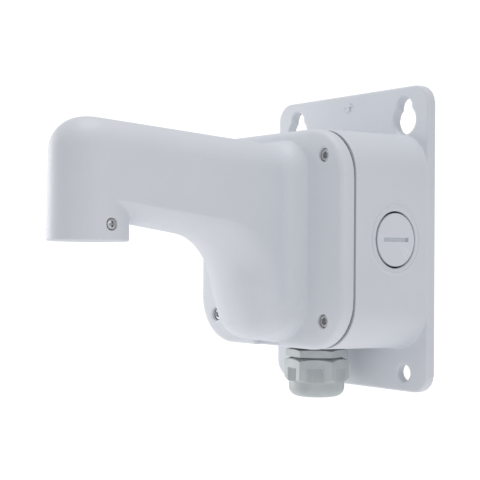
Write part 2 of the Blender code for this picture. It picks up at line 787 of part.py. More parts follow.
def make_arm():
    outside = arm_rings(0, True)
    outside.append([(x, FLANGE_BACK_Y - FLANGE / 2, z) for x, y, z in outside[-1]])
    arm = add_object("wall_arm", loft_mesh("wall_arm", outside), PARTS, POWDER_COAT)
    join(arm, add_object("arm_flange", flange_mesh("arm_flange"), CUTTERS))
    join(arm, turned("arm_end", end_outside(), CUTTERS, None, (0, END_Y, 0), UPRIGHT))
    inside = arm_rings(ARM_WALL, False)
    inside.append([(x, FLANGE_BACK_Y + CUT, z) for x, y, z in inside[-1]])
    cut(arm, add_object("arm_hollow", loft_mesh("arm_hollow", inside), CUTTERS))
    cut(arm, turned("end_hollow", end_inside(), CUTTERS, None, (0, END_Y, 0), UPRIGHT))
    for number, (x, z) in enumerate(ARM_SCREW_PLACES, 1):
        seat_y = FLANGE_FRONT_Y + COUNTERBORE_DEPTH
        counterbore = cylinder_cutter(
            f"counterbore_{number}",
            COUNTERBORE_RADIUS,
            (x, seat_y, z),
            TOWARDS_FRONT,
            COUNTERBORE_DEPTH + CUT,
        )
        hole = cylinder_cutter(
            f"flange_hole_{number}",
            ARM_SCREW_RADIUS + THREAD_GAP,
            (x, FLANGE_BACK_Y + CUT, z),
            TOWARDS_FRONT,
            FLANGE,
        )
        cut(arm, counterbore, hole)
    recess = cylinder_cutter(
        "lock_recess",
        LOCK_RECESS_RADIUS,
        (LOCK_SEAT_X, LOCK_SCREW_Y, LOCK_SCREW_Z),
        TOWARDS_X,
        LOCK_RECESS + CUT,
    )
    hole = cylinder_cutter(
        "lock_hole",
        LOCK_SCREW_RADIUS + THREAD_GAP,
        (0, LOCK_SCREW_Y, LOCK_SCREW_Z),
        TOWARDS_X,
        END_RADIUS,
    )
    cut(arm, recess, hole)
    flange_bottom = BOX_BOTTOM_Z
    notch = box_mesh(
        "drain_notch",
        (-NOTCH_WIDTH / 2, FLANGE_FRONT_Y - CUT, flange_bottom - CUT),
        (NOTCH_WIDTH / 2, FLANGE_FRONT_Y + NOTCH_DEPTH, flange_bottom + NOTCH_HEIGHT),
    )
    cut(arm, add_object("drain_notch", notch, CUTTERS))
    smooth(arm)


# ---------------------------------------------------------------- screws and washers


def socket_screw(name, place):
    """A low-head socket screw whose seat is local z = 0, with its head towards +Z."""
    screw = turned(
        name,
        [
            (0, ARM_SCREW_HEAD),
            (ARM_SCREW_HEAD_RADIUS - GAP, ARM_SCREW_HEAD),
            (ARM_SCREW_HEAD_RADIUS, ARM_SCREW_HEAD - GAP),
            (ARM_SCREW_HEAD_RADIUS, 0),
            (ARM_SCREW_RADIUS, 0),
            (ARM_SCREW_RADIUS, -ARM_SCREW_LENGTH),
            (0, -ARM_SCREW_LENGTH),
        ],
        PARTS,
        SCREW_STEEL,
        place,
        TOWARDS_FRONT,
        SMALL_STEPS,
    )
    corner = ARM_SCREW_SOCKET / 2 / math.cos(math.radians(30))
    socket = cylinder_cutter(
        name + "_socket",
        corner,
        (place[0], place[1] - ARM_SCREW_HEAD + SOCKET_DEPTH, place[2]),
        TOWARDS_FRONT,
        SOCKET_DEPTH + CUT,
        6,
    )
    cut(screw, socket)
    smooth(screw)


def split_washer(name, place):
    half_slit = SPRING_WASHER / 2
    washer = turned(
        name,
        [
            (ARM_SCREW_HEAD_RADIUS, SPRING_WASHER),
            (ARM_SCREW_HEAD_RADIUS, 0),
            (ARM_SCREW_RADIUS + GAP, 0),
            (ARM_SCREW_RADIUS + GAP, SPRING_WASHER),
        ],
        PARTS,
        SCREW_STEEL,
        place,
        TOWARDS_FRONT,
        SMALL_STEPS,
    )
    x, y, z = place
    slit = box_mesh(
        name + "_slit",
        (x - half_slit, y - SPRING_WASHER - CUT, z),
        (x + half_slit, y + CUT, z + 2 * ARM_SCREW_HEAD_RADIUS),
    )
    cut(washer, add_object(name + "_slit", slit, CUTTERS))
    smooth(washer)


def make_arm_screws():
    for number, (x, z) in enumerate(ARM_SCREW_PLACES, 1):
        washer_y = FLANGE_FRONT_Y + COUNTERBORE_DEPTH - GAP
        split_washer(f"spring_washer_{number}", (x, washer_y, z))
        socket_screw(f"arm_screw_{number}", (x, washer_y - SPRING_WASHER - GAP, z))


def cross_recess(name, place, turn, head_radius):
    """Two crossed slots, cut into a pan head whose top is at this place."""
    reach, width = head_radius * CROSS_REACH, head_radius * CROSS_WIDTH
    depth = head_radius * CROSS_DEPTH
    made = []
    for number, (across, along) in enumerate(((reach, width), (width, reach)), 1):
        mesh = box_mesh(
            f"{name}_cross_{number}",
            (-across / 2, -along / 2, -depth),
            (across / 2, along / 2, CUT),
        )
        obj = add_object(f"{name}_cross_{number}", mesh, CUTTERS)
        obj.location = place
        obj.rotation_euler = turn
        made.append(obj)
    return made


def pan_head(head_radius, head, radius, length):
    """Profile of a pan-head screw whose seat is local z = 0."""
    edge = head / 2
    return [
        (0, head),
        (head_radius - edge, head),
        (head_radius - edge / 4, head - edge / 3),
        (head_radius, head - edge),
        (head_radius, 0),
        (radius, 0),
        (radius, -length),
        (0, -length),
    ]


def make_lock_screw():
    washer_x = LOCK_SEAT_X + GAP
    hole_radius = LOCK_SCREW_RADIUS + GAP
    washer = turned(
        "lock_screw_washer",
        [
            (LOCK_WASHER_RADIUS, LOCK_WASHER),
            (LOCK_WASHER_RADIUS, 0),
            (hole_radius, 0),
            (hole_radius, LOCK_WASHER),
        ],
        PARTS,
        SCREW_STEEL,
        (washer_x, LOCK_SCREW_Y, LOCK_SCREW_Z),
        TOWARDS_X,
        SMALL_STEPS,
    )
    smooth(washer)
    seat = (washer_x + LOCK_WASHER + GAP, LOCK_SCREW_Y, LOCK_SCREW_Z)
    length = seat[0] - MOUTH_BORE_RADIUS - GAP
    screw = turned(
        "lock_screw",
        pan_head(LOCK_SCREW_HEAD_RADIUS, LOCK_SCREW_HEAD, LOCK_SCREW_RADIUS, length),
        PARTS,
        SCREW_STEEL,
        seat,
        TOWARDS_X,
        SMALL_STEPS,
    )
    top = (seat[0] + LOCK_SCREW_HEAD, seat[1], seat[2])
    cut(screw, *cross_recess("lock_screw", top, TOWARDS_X, LOCK_SCREW_HEAD_RADIUS))
    smooth(screw)


# ---------------------------------------------------------------- side plugs


def make_port_plug(side):
    name = "right" if side > 0 else "left"
    out = TOWARDS_X if side > 0 else TOWARDS_MINUS_X
    seat = side * (PORT_SEAT_X + GAP)
    ring_radius = (PORT_THREAD_RADIUS + PORT_RECESS_RADIUS) / 2
    section = arc((ring_radius, SEAL_SECTION), SEAL_SECTION, 90, -225, 7)
    place = (seat, PORT_Y, PORT_Z)
    seal = turned(
        "port_seal_" + name, section, PARTS, SEAL_RUBBER, place, out, SEAL_STEPS
    )
    smooth(seal)
    under_head = seat + side * (2 * SEAL_SECTION + GAP)
    edge = PLUG_HEAD / 8
    plug = turned(
        "port_plug_" + name,
        [
            (0, PLUG_HEAD),
            (PLUG_HEAD_RADIUS - edge, PLUG_HEAD),
            (PLUG_HEAD_RADIUS, PLUG_HEAD - edge),
            (PLUG_HEAD_RADIUS, 0),
            (PORT_THREAD_RADIUS, 0),
            (PORT_THREAD_RADIUS, -PLUG_THREAD_LENGTH),
            (PORT_THREAD_RADIUS - PLUG_WALL, -PLUG_THREAD_LENGTH),
            (PORT_THREAD_RADIUS - PLUG_WALL, 0),
            (0, 0),
        ],
        PARTS,
        POWDER_COAT,
        (under_head, PORT_Y, PORT_Z),
        out,
    )
    top = under_head + side * PLUG_HEAD
    low_x, high_x = sorted((top - side * PLUG_SLOT_DEPTH, top + side * CUT))
    half = PLUG_SLOT_LENGTH / 2
    slot = box_mesh(
        "plug_slot_" + name,
        (low_x, PORT_Y - half, PORT_Z - PLUG_SLOT_WIDTH / 2),
        (high_x, PORT_Y + half, PORT_Z + PLUG_SLOT_WIDTH / 2),
    )
    cut(plug, add_object("plug_slot_" + name, slot, CUTTERS))
    smooth(plug)


# ---------------------------------------------------------------- cable gland
# Heights here are below the face of the boss under the box, growing downwards: each
# piece's own Z axis points down.


def gland_piece(name, profile, coat, depth, steps=TURN_STEPS):
    place = (0, PORT_Y, GLAND_FACE_Z - depth)
    return turned(name, profile, PARTS, coat, place, TOWARDS_DOWN, steps)


def make_gland():
    collar_top = GLAND_SEAL + 2 * GAP
    collar_bottom = collar_top + GLAND_COLLAR
    seal = gland_piece(
        "gland_port_seal",
        [
            (GLAND_SEAL_RADIUS, GLAND_SEAL),
            (GLAND_SEAL_RADIUS, 0),
            (GLAND_THREAD_RADIUS + GAP, 0),
            (GLAND_THREAD_RADIUS + GAP, GLAND_SEAL),
        ],
        SEAL_RUBBER,
        GAP,
    )
    smooth(seal)

    thread_end = collar_bottom + GLAND_NUT_THREAD_LENGTH
    cup_top = thread_end - GLAND_CUP_DEPTH
    body = gland_piece(
        "gland_body",
        [
            (GLAND_NUT_THREAD_RADIUS, thread_end),
            (GLAND_NUT_THREAD_RADIUS, collar_top + GLAND_COLLAR / 2),
            (GLAND_THREAD_RADIUS, collar_top + GLAND_COLLAR / 2),
            (GLAND_THREAD_RADIUS, collar_top - GLAND_THREAD_LENGTH),
            (GLAND_BORE_RADIUS, collar_top - GLAND_THREAD_LENGTH),
            (GLAND_BORE_RADIUS, cup_top),
            (GLAND_CUP_RADIUS, cup_top),
            (GLAND_CUP_RADIUS, thread_end),
        ],
        GLAND_PLASTIC,
        0,
    )
    collar_corner = GLAND_COLLAR_FLATS / 2 / math.cos(math.radians(30))
    collar = add_object(
        "gland_collar", prism_mesh("gland_collar", 6, collar_corner, GLAND_COLLAR), CUTTERS
    )
    collar.location = (0, PORT_Y, GLAND_FACE_Z - collar_bottom)
    collar.rotation_euler = (0, 0, HEX_CORNER - math.radians(90))
    collar_hole = cylinder_cutter(
        "gland_collar_hole",
        GLAND_THREAD_RADIUS - CUT,
        (0, PORT_Y, GLAND_FACE_Z - collar_bottom - CUT),
        UPRIGHT,
        GLAND_COLLAR + 2 * CUT,
        TURN_STEPS,
    )
    cut(collar, collar_hole)
    join(body, collar)
    smooth(body)

    nut_corner = LOCK_NUT_FLATS / 2 / math.cos(math.radians(30))
    lock_nut = add_object(
        "gland_lock_nut",
        prism_mesh("gland_lock_nut", 6, nut_corner, LOCK_NUT),
        PARTS,
        GLAND_PLASTIC,
    )
    inside_z = BOX_BOTTOM_Z + BOX_WALL + GAP
    lock_nut.location = (0, PORT_Y, inside_z)
    nut_hole = cylinder_cutter(
        "lock_nut_hole",
        GLAND_THREAD_RADIUS + THREAD_GAP,
        (0, PORT_Y, inside_z - CUT),
        UPRIGHT,
        LOCK_NUT + 2 * CUT,
        TURN_STEPS,
    )
    cut(lock_nut, nut_hole)
    smooth(lock_nut)

    nut_top = collar_bottom + DOME_NUT_CLEARANCE
    nut_end = DOME_NUT_HEX + DOME
    ring_top = cup_top + GAP
    ring_length = nut_top + nut_end - DOME_WALL - GAP - ring_top
    ring_radius = GLAND_CUP_RADIUS - GAP
    ring_inner = ring_radius - CLAMP_RING_WALL
    ring = gland_piece(
        "gland_clamp_ring",
        [
            (ring_radius - CLAMP_RING_WALL / 2, ring_length),
            (ring_radius, ring_length - CLAMP_RING_WALL),
            (ring_radius, 0),
            (ring_inner, 0),
            (ring_inner, ring_length),
        ],
        GLAND_PLASTIC,
        ring_top,
    )
    for number in range(CLAMP_SLITS // 2):
        slit = box_mesh(
            f"clamp_slit_{number}",
            (-2 * ring_radius, -CLAMP_SLIT_WIDTH / 2, -CUT),
            (2 * ring_radius, CLAMP_SLIT_WIDTH / 2, CLAMP_SLIT_DEPTH),
        )
        slit = add_object(f"clamp_slit_{number}", slit, CUTTERS)
        slit.location = (0, PORT_Y, GLAND_FACE_Z - ring_top - ring_length)
        slit.rotation_euler = (0, 0, math.pi * (number + 0.5) / (CLAMP_SLITS // 2))
        cut(ring, slit)
    smooth(ring)

    bush_radius = ring_inner - GAP
    bush = gland_piece(
        "gland_seal_bush",
        [
            (bush_radius, BUSH_LENGTH),
            (bush_radius, 0),
            (CABLE_RADIUS, 0),
            (CABLE_RADIUS, BUSH_LENGTH),
        ],
        SEAL_RUBBER,
        ring_top,
    )
    smooth(bush)

    hex_corner = DOME_NUT_FLATS / 2 / math.cos(math.radians(30))
    dome_side = arc((DOME_RADIUS - DOME_EDGE, nut_end - DOME_EDGE), DOME_EDGE, 90, 0, 3)
    inside_radius = GLAND_NUT_THREAD_RADIUS + THREAD_GAP
    seat_start = thread_end - nut_top + GAP
    dome_nut = gland_piece(
        "gland_dome_nut",
        [
            (DOME_MOUTH_RADIUS, nut_end),
            *dome_side,
            (DOME_RADIUS, DOME_NUT_HEX / 2),
            (DOME_RADIUS, 0),
            (inside_radius, 0),
            (inside_radius, seat_start),
            (ring_radius + GAP, seat_start + DOME_WALL),
            (ring_radius + GAP, nut_end - DOME_WALL),
            (DOME_MOUTH_RADIUS, nut_end - DOME_WALL),
        ],
        GLAND_PLASTIC,
        nut_top,
    )
    hexagon = turned(
        "dome_hexagon",
        [
            (0, DOME_NUT_HEX),
            (DOME_RADIUS - CUT / 4, DOME_NUT_HEX),
            (hex_corner, DOME_NUT_HEX - DOME_NUT_CHAMFER),
            (hex_corner, 0),
            (0, 0),
        ],
        CUTTERS,
        None,
        (0, PORT_Y, GLAND_FACE_Z - nut_top),
        (math.radians(180), 0, HEX_CORNER),
        6,
    )
    hexagon_hole = cylinder_cutter(
        "dome_hexagon_hole",
        GLAND_NUT_THREAD_RADIUS + CUT / 2,
        (0, PORT_Y, GLAND_FACE_Z - nut_top + CUT),
        TOWARDS_DOWN,
        DOME_NUT_HEX + 2 * CUT,
        TURN_STEPS,
    )
    cut(hexagon, hexagon_hole)
    join(dome_nut, hexagon)
    smooth(dome_nut)


# ---------------------------------------------------------------- inside the box


def small_screw(name, place):
    """A pan-head screw into the box's floor, whose head is seated at this place."""
    tip_y = FLOOR_Y + SMALL_HOLE_DEPTH - GAP
    profile = pan_head(
        SMALL_SCREW_HEAD_RADIUS, SMALL_SCREW_HEAD, SMALL_SCREW_RADIUS, tip_y - place[1]
    )
    screw = turned(name, profile, PARTS, SCREW_STEEL, place, TOWARDS_FRONT, SMALL_STEPS)
    top = (place[0], place[1] - SMALL_SCREW_HEAD, place[2])
    cut(screw, *cross_recess(name, top, TOWARDS_FRONT, SMALL_SCREW_HEAD_RADIUS))
    smooth(screw)


def floor_washer(name, outer, thickness, place, coat):
    hole_radius = SMALL_SCREW_RADIUS + GAP
    profile = [(outer, thickness), (outer, 0), (hole_radius, 0), (hole_radius, thickness)]
    washer = turned(name, profile, PARTS, coat, place, TOWARDS_FRONT, SMALL_STEPS)
    smooth(washer)


def make_earth_point():
    terminal_y = FLOOR_Y - GAP
    place = (EARTH_X, terminal_y, EARTH_Z)
    hole_radius = SMALL_SCREW_RADIUS + GAP
    terminal = turned(
        "earth_terminal",
        [
            (EARTH_TERMINAL_RADIUS, EARTH_TERMINAL),
            (EARTH_TERMINAL_RADIUS, 0),
            (hole_radius, 0),
            (hole_radius, EARTH_TERMINAL),
        ],
        PARTS,
        TINNED_BRASS,
        place,
        TOWARDS_FRONT,
        SMALL_STEPS,
    )
    overlap = (EARTH_TERMINAL_RADIUS - hole_radius) / 2
    start_z = EARTH_Z - EARTH_TERMINAL_RADIUS + overlap
    half = EARTH_BARREL_WIDTH / 2
    tongue = box_mesh(
        "terminal_tongue",
        (EARTH_X - half, terminal_y - EARTH_TERMINAL, start_z - EARTH_BARREL_LENGTH),
        (EARTH_X + half, terminal_y, start_z),
    )
    barrel_top = start_z - EARTH_BARREL_LENGTH / 3
    barrel = box_mesh(
        "terminal_barrel",
        (EARTH_X - half, terminal_y - EARTH_BARREL_HEIGHT, start_z - EARTH_BARREL_LENGTH),
        (EARTH_X + half, terminal_y, barrel_top),
    )
    join(terminal, add_object("terminal_tongue", tongue, CUTTERS))
    join(terminal, add_object("terminal_barrel", barrel, CUTTERS))
    wire_hole = cylinder_cutter(
        "terminal_wire_hole",
        EARTH_BARREL_HEIGHT / 4,
        (EARTH_X, terminal_y - EARTH_BARREL_HEIGHT / 2, start_z - EARTH_BARREL_LENGTH - CUT),
        UPRIGHT,
        EARTH_BARREL_LENGTH / 2 + CUT,
        12,
    )
    cut(terminal, wire_hole)
    smooth(terminal)
    washer_y = terminal_y - EARTH_TERMINAL - GAP
    washer_place = (EARTH_X, washer_y, EARTH_Z)
    floor_washer("earth_washer", EARTH_WASHER_RADIUS, EARTH_WASHER, washer_place, SCREW_STEEL)
    small_screw("earth_screw", (EARTH_X, washer_y - EARTH_WASHER - GAP, EARTH_Z))


def make_lanyard_hook():
    foot_y = FLOOR_Y - GAP
    low_z = HOOK_Z - HOOK_FOOT / 2
    foot = box_mesh(
        "lanyard_hook",
        (HOOK_X - HOOK_WIDTH / 2, foot_y - HOOK_SHEET, low_z),
        (HOOK_X + HOOK_WIDTH / 2, foot_y, low_z + HOOK_FOOT),
    )
    hook = add_object("lanyard_hook", foot, PARTS, SCREW_STEEL)
    rise = box_mesh(
        "hook_rise",
        (HOOK_X - HOOK_WIDTH / 2, foot_y - HOOK_RISE, low_z),
        (HOOK_X + HOOK_WIDTH / 2, foot_y, low_z + HOOK_SHEET),
    )
    join(hook, add_object("hook_rise", rise, CUTTERS))
    eye_y = foot_y - HOOK_RISE + HOOK_WIDTH / 2
    eye = cylinder_cutter(
        "hook_eye", HOOK_EYE_RADIUS, (HOOK_X, eye_y, low_z - CUT), UPRIGHT, HOOK_SHEET + 2 * CUT
    )
    hole = cylinder_cutter(
        "hook_screw_hole",
        SMALL_SCREW_RADIUS + GAP,
        (HOOK_X, foot_y + CUT, HOOK_Z),
        TOWARDS_FRONT,
        HOOK_SHEET + 2 * CUT,
    )
    cut(hook, eye, hole)
    smooth(hook)
    small_screw("lanyard_screw", (HOOK_X, foot_y - HOOK_SHEET - GAP, HOOK_Z))


make_housing()
make_gasket()
make_arm()
make_arm_screws()
make_lock_screw()
make_port_plug(1)
make_port_plug(-1)
make_gland()
make_earth_point()
make_lanyard_hook()
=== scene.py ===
# %% [markdown]
# # The looks of a wall arm for a pan-tilt-zoom camera
# The object is a die-cast aluminium junction box with a wall plate, a cast arm screwed to
# its front, two coin-slot plugs in its sides and a plastic cable gland underneath.
# A frame that is already built holds every piece at its real place and size. This lesson
# leaves that frame alone and dresses it: finer meshes where a casting should look cast,
# and a finish for everything that shows.

# %% Load the frame
import math

import bmesh
import bpy
from mathutils import Matrix, Vector


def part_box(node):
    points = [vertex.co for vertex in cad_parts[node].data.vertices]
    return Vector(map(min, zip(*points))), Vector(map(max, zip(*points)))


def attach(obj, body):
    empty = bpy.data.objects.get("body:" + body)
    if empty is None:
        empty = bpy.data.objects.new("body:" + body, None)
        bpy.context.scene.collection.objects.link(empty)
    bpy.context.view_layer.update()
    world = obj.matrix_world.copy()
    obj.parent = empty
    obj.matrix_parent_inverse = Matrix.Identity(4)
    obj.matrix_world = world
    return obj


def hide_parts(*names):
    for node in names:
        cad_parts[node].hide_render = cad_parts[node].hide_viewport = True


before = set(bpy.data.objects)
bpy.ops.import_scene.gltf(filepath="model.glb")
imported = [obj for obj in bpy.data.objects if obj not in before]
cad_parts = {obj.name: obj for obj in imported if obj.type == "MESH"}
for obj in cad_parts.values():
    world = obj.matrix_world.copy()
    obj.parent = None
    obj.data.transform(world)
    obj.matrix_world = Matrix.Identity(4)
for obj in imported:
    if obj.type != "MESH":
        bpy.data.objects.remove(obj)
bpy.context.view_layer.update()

# %% [markdown]
# ## The view
# A camera needs a place, a direction and a lens. Here the direction comes from two angles,
# how far round the object it stands and how much it looks up, and the last angle is the
# slight lean of a hand-held view. A lens of 83 mm stands well back, so the arm's end isn't
# drawn much larger than the wall plate.

# %% Camera
VIEW_PLACE = (0.6801, -0.6835, -0.0196)
VIEW_ROUND = math.radians(50.79)
VIEW_UP = math.radians(1.10)
VIEW_LEAN = math.radians(0.474)
VIEW_LENS = 82.59


def aimed_camera():
    across = Vector((math.cos(VIEW_ROUND), math.sin(VIEW_ROUND), 0))
    level = Vector((-math.sin(VIEW_ROUND), math.cos(VIEW_ROUND), 0))
    forward = level * math.cos(VIEW_UP) + Vector((0, 0, math.sin(VIEW_UP)))
    up = across.cross(forward)
    right = across * math.cos(VIEW_LEAN) + up * math.sin(VIEW_LEAN)
    top = right.cross(forward)
    data = bpy.data.cameras.new("view_camera")
    data.lens = VIEW_LENS
    camera = bpy.data.objects.new("view_camera", data)
    bpy.context.scene.collection.objects.link(camera)
    turn = Matrix((right, top, -forward)).transposed().to_4x4()
    camera.matrix_world = Matrix.Translation(VIEW_PLACE) @ turn
    bpy.context.scene.camera = camera
    return camera


view_camera = aimed_camera()
print("camera stands", round(view_camera.location.length, 3), "m from the wall plate")

# %% [markdown]
# ## Light and floor
# White paint shows its shape by very small steps of grey, so the light has to be broad and
# even. A white sky lights every side at once, and three large lamps tilt the balance a
# little: a strong one on the left, which only grazes the faces that show and so draws a
# bright rim, one overhead, and a weak one on the right to open up the shadows. The floor
# lies well below, as the arm hangs on a wall, and sends a little light back up under it.

# %% Sky, lamps and floor
SKY_LIGHT = 0.58
SKY_TINT = (0.97, 0.985, 1.0, 1.0)
SKY_BEHIND = 1.1
LAMP_SIZE = 1.0
LAMP_AIM = Vector((0, -0.13, 0))
LAMPS = (
    ("lamp_right", (1.5, -0.3, 0.3), 2.9),
    ("lamp_left", (-1.4, -0.6, 0.1), 10.0),
    ("lamp_top", (0, -0.3, 1.6), 10.0),
)
FLOOR_PAINT, FLOOR_GLOW = 0.93, 0.20
FLOOR_DROP = 0.55
FLOOR_RADIUS = 1.6


def white_sky():
    world = bpy.data.worlds.new("white_sky")
    world.use_nodes = True
    nodes, links = world.node_tree.nodes, world.node_tree.links
    nodes.clear()
    seen = nodes.new("ShaderNodeBackground")
    seen.inputs["Color"].default_value = (1, 1, 1, 1)
    seen.inputs["Strength"].default_value = SKY_BEHIND
    lit = nodes.new("ShaderNodeBackground")
    lit.inputs["Color"].default_value = SKY_TINT
    lit.inputs["Strength"].default_value = SKY_LIGHT
    ray = nodes.new("ShaderNodeLightPath")
    mix = nodes.new("ShaderNodeMixShader")
    out = nodes.new("ShaderNodeOutputWorld")
    links.new(ray.outputs["Is Camera Ray"], mix.inputs["Fac"])
    links.new(lit.outputs[0], mix.inputs[1])
    links.new(seen.outputs[0], mix.inputs[2])
    links.new(mix.outputs[0], out.inputs["Surface"])
    bpy.context.scene.world = world


def soft_lamp(name, place, power):
    data = bpy.data.lights.new(name, "AREA")
    data.shape = "DISK"
    data.size = LAMP_SIZE
    data.energy = power
    lamp = bpy.data.objects.new(name, data)
    bpy.context.scene.collection.objects.link(lamp)
    lamp.location = place
    aim = LAMP_AIM - Vector(place)
    lamp.rotation_euler = aim.to_track_quat("-Z", "Y").to_euler()
    return lamp


def pale_floor():
    bm = bmesh.new()
    bmesh.ops.create_circle(bm, cap_ends=True, segments=96, radius=FLOOR_RADIUS)
    mesh = bpy.data.meshes.new("floor")
    bm.to_mesh(mesh)
    bm.free()
    floor = bpy.data.objects.new("floor", mesh)
    bpy.context.scene.collection.objects.link(floor)
    floor.location.z = -FLOOR_DROP
    paint = bpy.data.materials.new("floor_white")
    paint.use_nodes = True
    shader = paint.node_tree.nodes["Principled BSDF"]
    shader.inputs["Base Color"].default_value = (*[FLOOR_PAINT] * 3, 1.0)
    shader.inputs["Roughness"].default_value = 0.9
    shader.inputs["Specular IOR Level"].default_value = 0.1
    shader.inputs["Emission Color"].default_value = (1, 1, 1, 1)
    shader.inputs["Emission Strength"].default_value = FLOOR_GLOW
    mesh.materials.append(paint)
    return floor


white_sky()
for lamp_name, lamp_place, lamp_power in LAMPS:
    soft_lamp(lamp_name, lamp_place, lamp_power)
pale_floor()
bpy.context.scene.view_settings.view_transform = "Standard"
print("floor lies", FLOOR_DROP, "m below the plate's middle")

# %% [markdown]
# ## Powder coat
# The castings are blasted, then powder coated: a dry plastic powder is baked until it
# flows. It never flows quite flat, so the skin keeps a fine orange peel, with an even
# finer grain that breaks up its shine. Outer edges get a painted highlight: a lighter
# tint, broken up by noise. Painted textures could carry that, but need unwrapping.
# Noise in object space gives the same grain everywhere and at its true size.

# %% Helpers for materials
NOISE_LOW, NOISE_HIGH = 0.3, 0.7  # where nearly all of a noise node's values lie


def blank_material(name):
    """A material with its shader, and an add function that makes and sets a node."""
    made = bpy.data.materials.new(name)
    made.use_nodes = True
    nodes = made.node_tree.nodes

    def add(kind, **sockets):
        node = nodes.new(kind)
        for socket, value in sockets.items():
            node.inputs[socket.replace("_", " ")].default_value = value
        return node

    return made, nodes["Principled BSDF"], add, made.node_tree.links.new


def noise_node(add, link, where, scale, detail):
    node = add("ShaderNodeTexNoise", Scale=scale, Detail=detail)
    link(where.outputs["Object"], node.inputs["Vector"])
    return node.outputs["Fac"]


def remap(add, link, value, low, high):
    """Turns a noise node's values into the range asked for."""
    node = add("ShaderNodeMapRange")
    node.inputs["From Min"].default_value = NOISE_LOW
    node.inputs["From Max"].default_value = NOISE_HIGH
    node.inputs["To Min"].default_value = low
    node.inputs["To Max"].default_value = high
    link(value, node.inputs["Value"])
    return node.outputs["Result"]


def shaded(tint, factor):
    return [min(1, channel * factor) for channel in tint]


def tinted(add, link, share, dark, light):
    """A colour between two tints, by a value from 0 to 1."""
    ramp = add("ShaderNodeValToRGB")
    ramp.color_ramp.elements[0].color = (*dark, 1)
    ramp.color_ramp.elements[1].color = (*light, 1)
    link(share, ramp.inputs["Fac"])
    return ramp.outputs["Color"]


def bumped(add, link, height, strength, distance, under=None):
    bump = add("ShaderNodeBump", Strength=strength, Distance=distance)
    link(height, bump.inputs["Height"])
    if under is not None:
        link(under, bump.inputs["Normal"])
    return bump.outputs["Normal"]


print("material helpers ready, noise taken from", NOISE_LOW, "to", NOISE_HIGH)

# %% Powder coat
PEEL_SCALE, GRAIN_SCALE = 620.0, 3600.0
CLOUD_SCALE, EDGE_BREAKUP_SCALE = 14.0, 260.0
EDGE_FROM, EDGE_TO = 0.53, 0.60  # of pointiness, which is over a half on outer edges
# the last factor is a painted highlight: it lightens the coat's tint on outer edges
CLOUD_DARK, CLOUD_LIGHT, EDGE_HIGHLIGHT = 0.975, 1.015, 1.10  # of the coat's tint
COAT_POLISHED, COAT_DULL, COAT_SHINE = -0.05, 0.07, 0.42
PEEL_BUMP, GRAIN_BUMP = (0.30, 0.00035), (0.22, 0.00008)


def powder_coat(name, tint, roughness):
    made, shader, add, link = blank_material(name)
    where = add("ShaderNodeTexCoord")
    cloud = remap(add, link, noise_node(add, link, where, CLOUD_SCALE, 3), 0, 1)
    dark, light = shaded(tint, CLOUD_DARK), shaded(tint, CLOUD_LIGHT)
    body_colour = tinted(add, link, cloud, dark, light)
    # Painted highlight: where pointiness marks an outer edge, a lighter tint is mixed in, broken
    # up by noise
    shape = add("ShaderNodeNewGeometry")
    edge = add("ShaderNodeMapRange")
    edge.inputs["From Min"].default_value = EDGE_FROM
    edge.inputs["From Max"].default_value = EDGE_TO
    link(shape.outputs["Pointiness"], edge.inputs["Value"])
    edge_breakup = remap(add, link, noise_node(add, link, where, EDGE_BREAKUP_SCALE, 4), 0, 1)
    highlit_edges = add("ShaderNodeMath")
    highlit_edges.operation = "MULTIPLY"
    link(edge.outputs["Result"], highlit_edges.inputs[0])
    link(edge_breakup, highlit_edges.inputs[1])
    blend = add("ShaderNodeMix")
    blend.data_type = "RGBA"
    blend.inputs["B"].default_value = (*shaded(tint, EDGE_HIGHLIGHT), 1)
    link(highlit_edges.outputs["Value"], blend.inputs["Factor"])
    link(body_colour, blend.inputs["A"])
    link(blend.outputs["Result"], shader.inputs["Base Color"])
    peel = noise_node(add, link, where, PEEL_SCALE, 2)
    grain = noise_node(add, link, where, GRAIN_SCALE, 3)
    rough = remap(add, link, grain, roughness + COAT_POLISHED, roughness + COAT_DULL)
    link(rough, shader.inputs["Roughness"])
    peeled = bumped(add, link, peel, *PEEL_BUMP)
    link(bumped(add, link, grain, *GRAIN_BUMP, peeled), shader.inputs["Normal"])
    shader.inputs["Specular IOR Level"].default_value = COAT_SHINE
    return made


WHITE_COAT = powder_coat("white_powder_coat_finish", (0.640, 0.660, 0.705), 0.50)
PLUG_COAT = powder_coat("plug_powder_coat_finish", (0.660, 0.680, 0.725), 0.46)
print("powder coat: peel about", round(1000 / PEEL_SCALE, 1), "mm across")

# %% [markdown]
# ## Nylon, rubber and metals
# The gland is moulded glass-filled nylon: a soft grey with a satin, faintly mottled skin.
# Rubber is nearly black and very rough. The screws are metal, where all the colour is in
# the reflection, so their life comes from roughness that varies along turning marks.

# %% Nylon and rubber
MOTTLE_SCALE, MOTTLE_DARK, MOTTLE_LIGHT = 90.0, 0.94, 1.05
PLASTIC_POLISHED, PLASTIC_DULL, PLASTIC_BUMP = -0.06, 0.08, 0.25


def grained_plastic(name, tint, roughness, grain_scale, depth):
    made, shader, add, link = blank_material(name)
    where = add("ShaderNodeTexCoord")
    cloud = remap(add, link, noise_node(add, link, where, MOTTLE_SCALE, 4), 0, 1)
    dark, light = shaded(tint, MOTTLE_DARK), shaded(tint, MOTTLE_LIGHT)
    link(tinted(add, link, cloud, dark, light), shader.inputs["Base Color"])
    grain = noise_node(add, link, where, grain_scale, 4)
    rough = remap(add, link, grain, roughness + PLASTIC_POLISHED, roughness + PLASTIC_DULL)
    link(rough, shader.inputs["Roughness"])
    link(bumped(add, link, grain, PLASTIC_BUMP, depth), shader.inputs["Normal"])
    return made


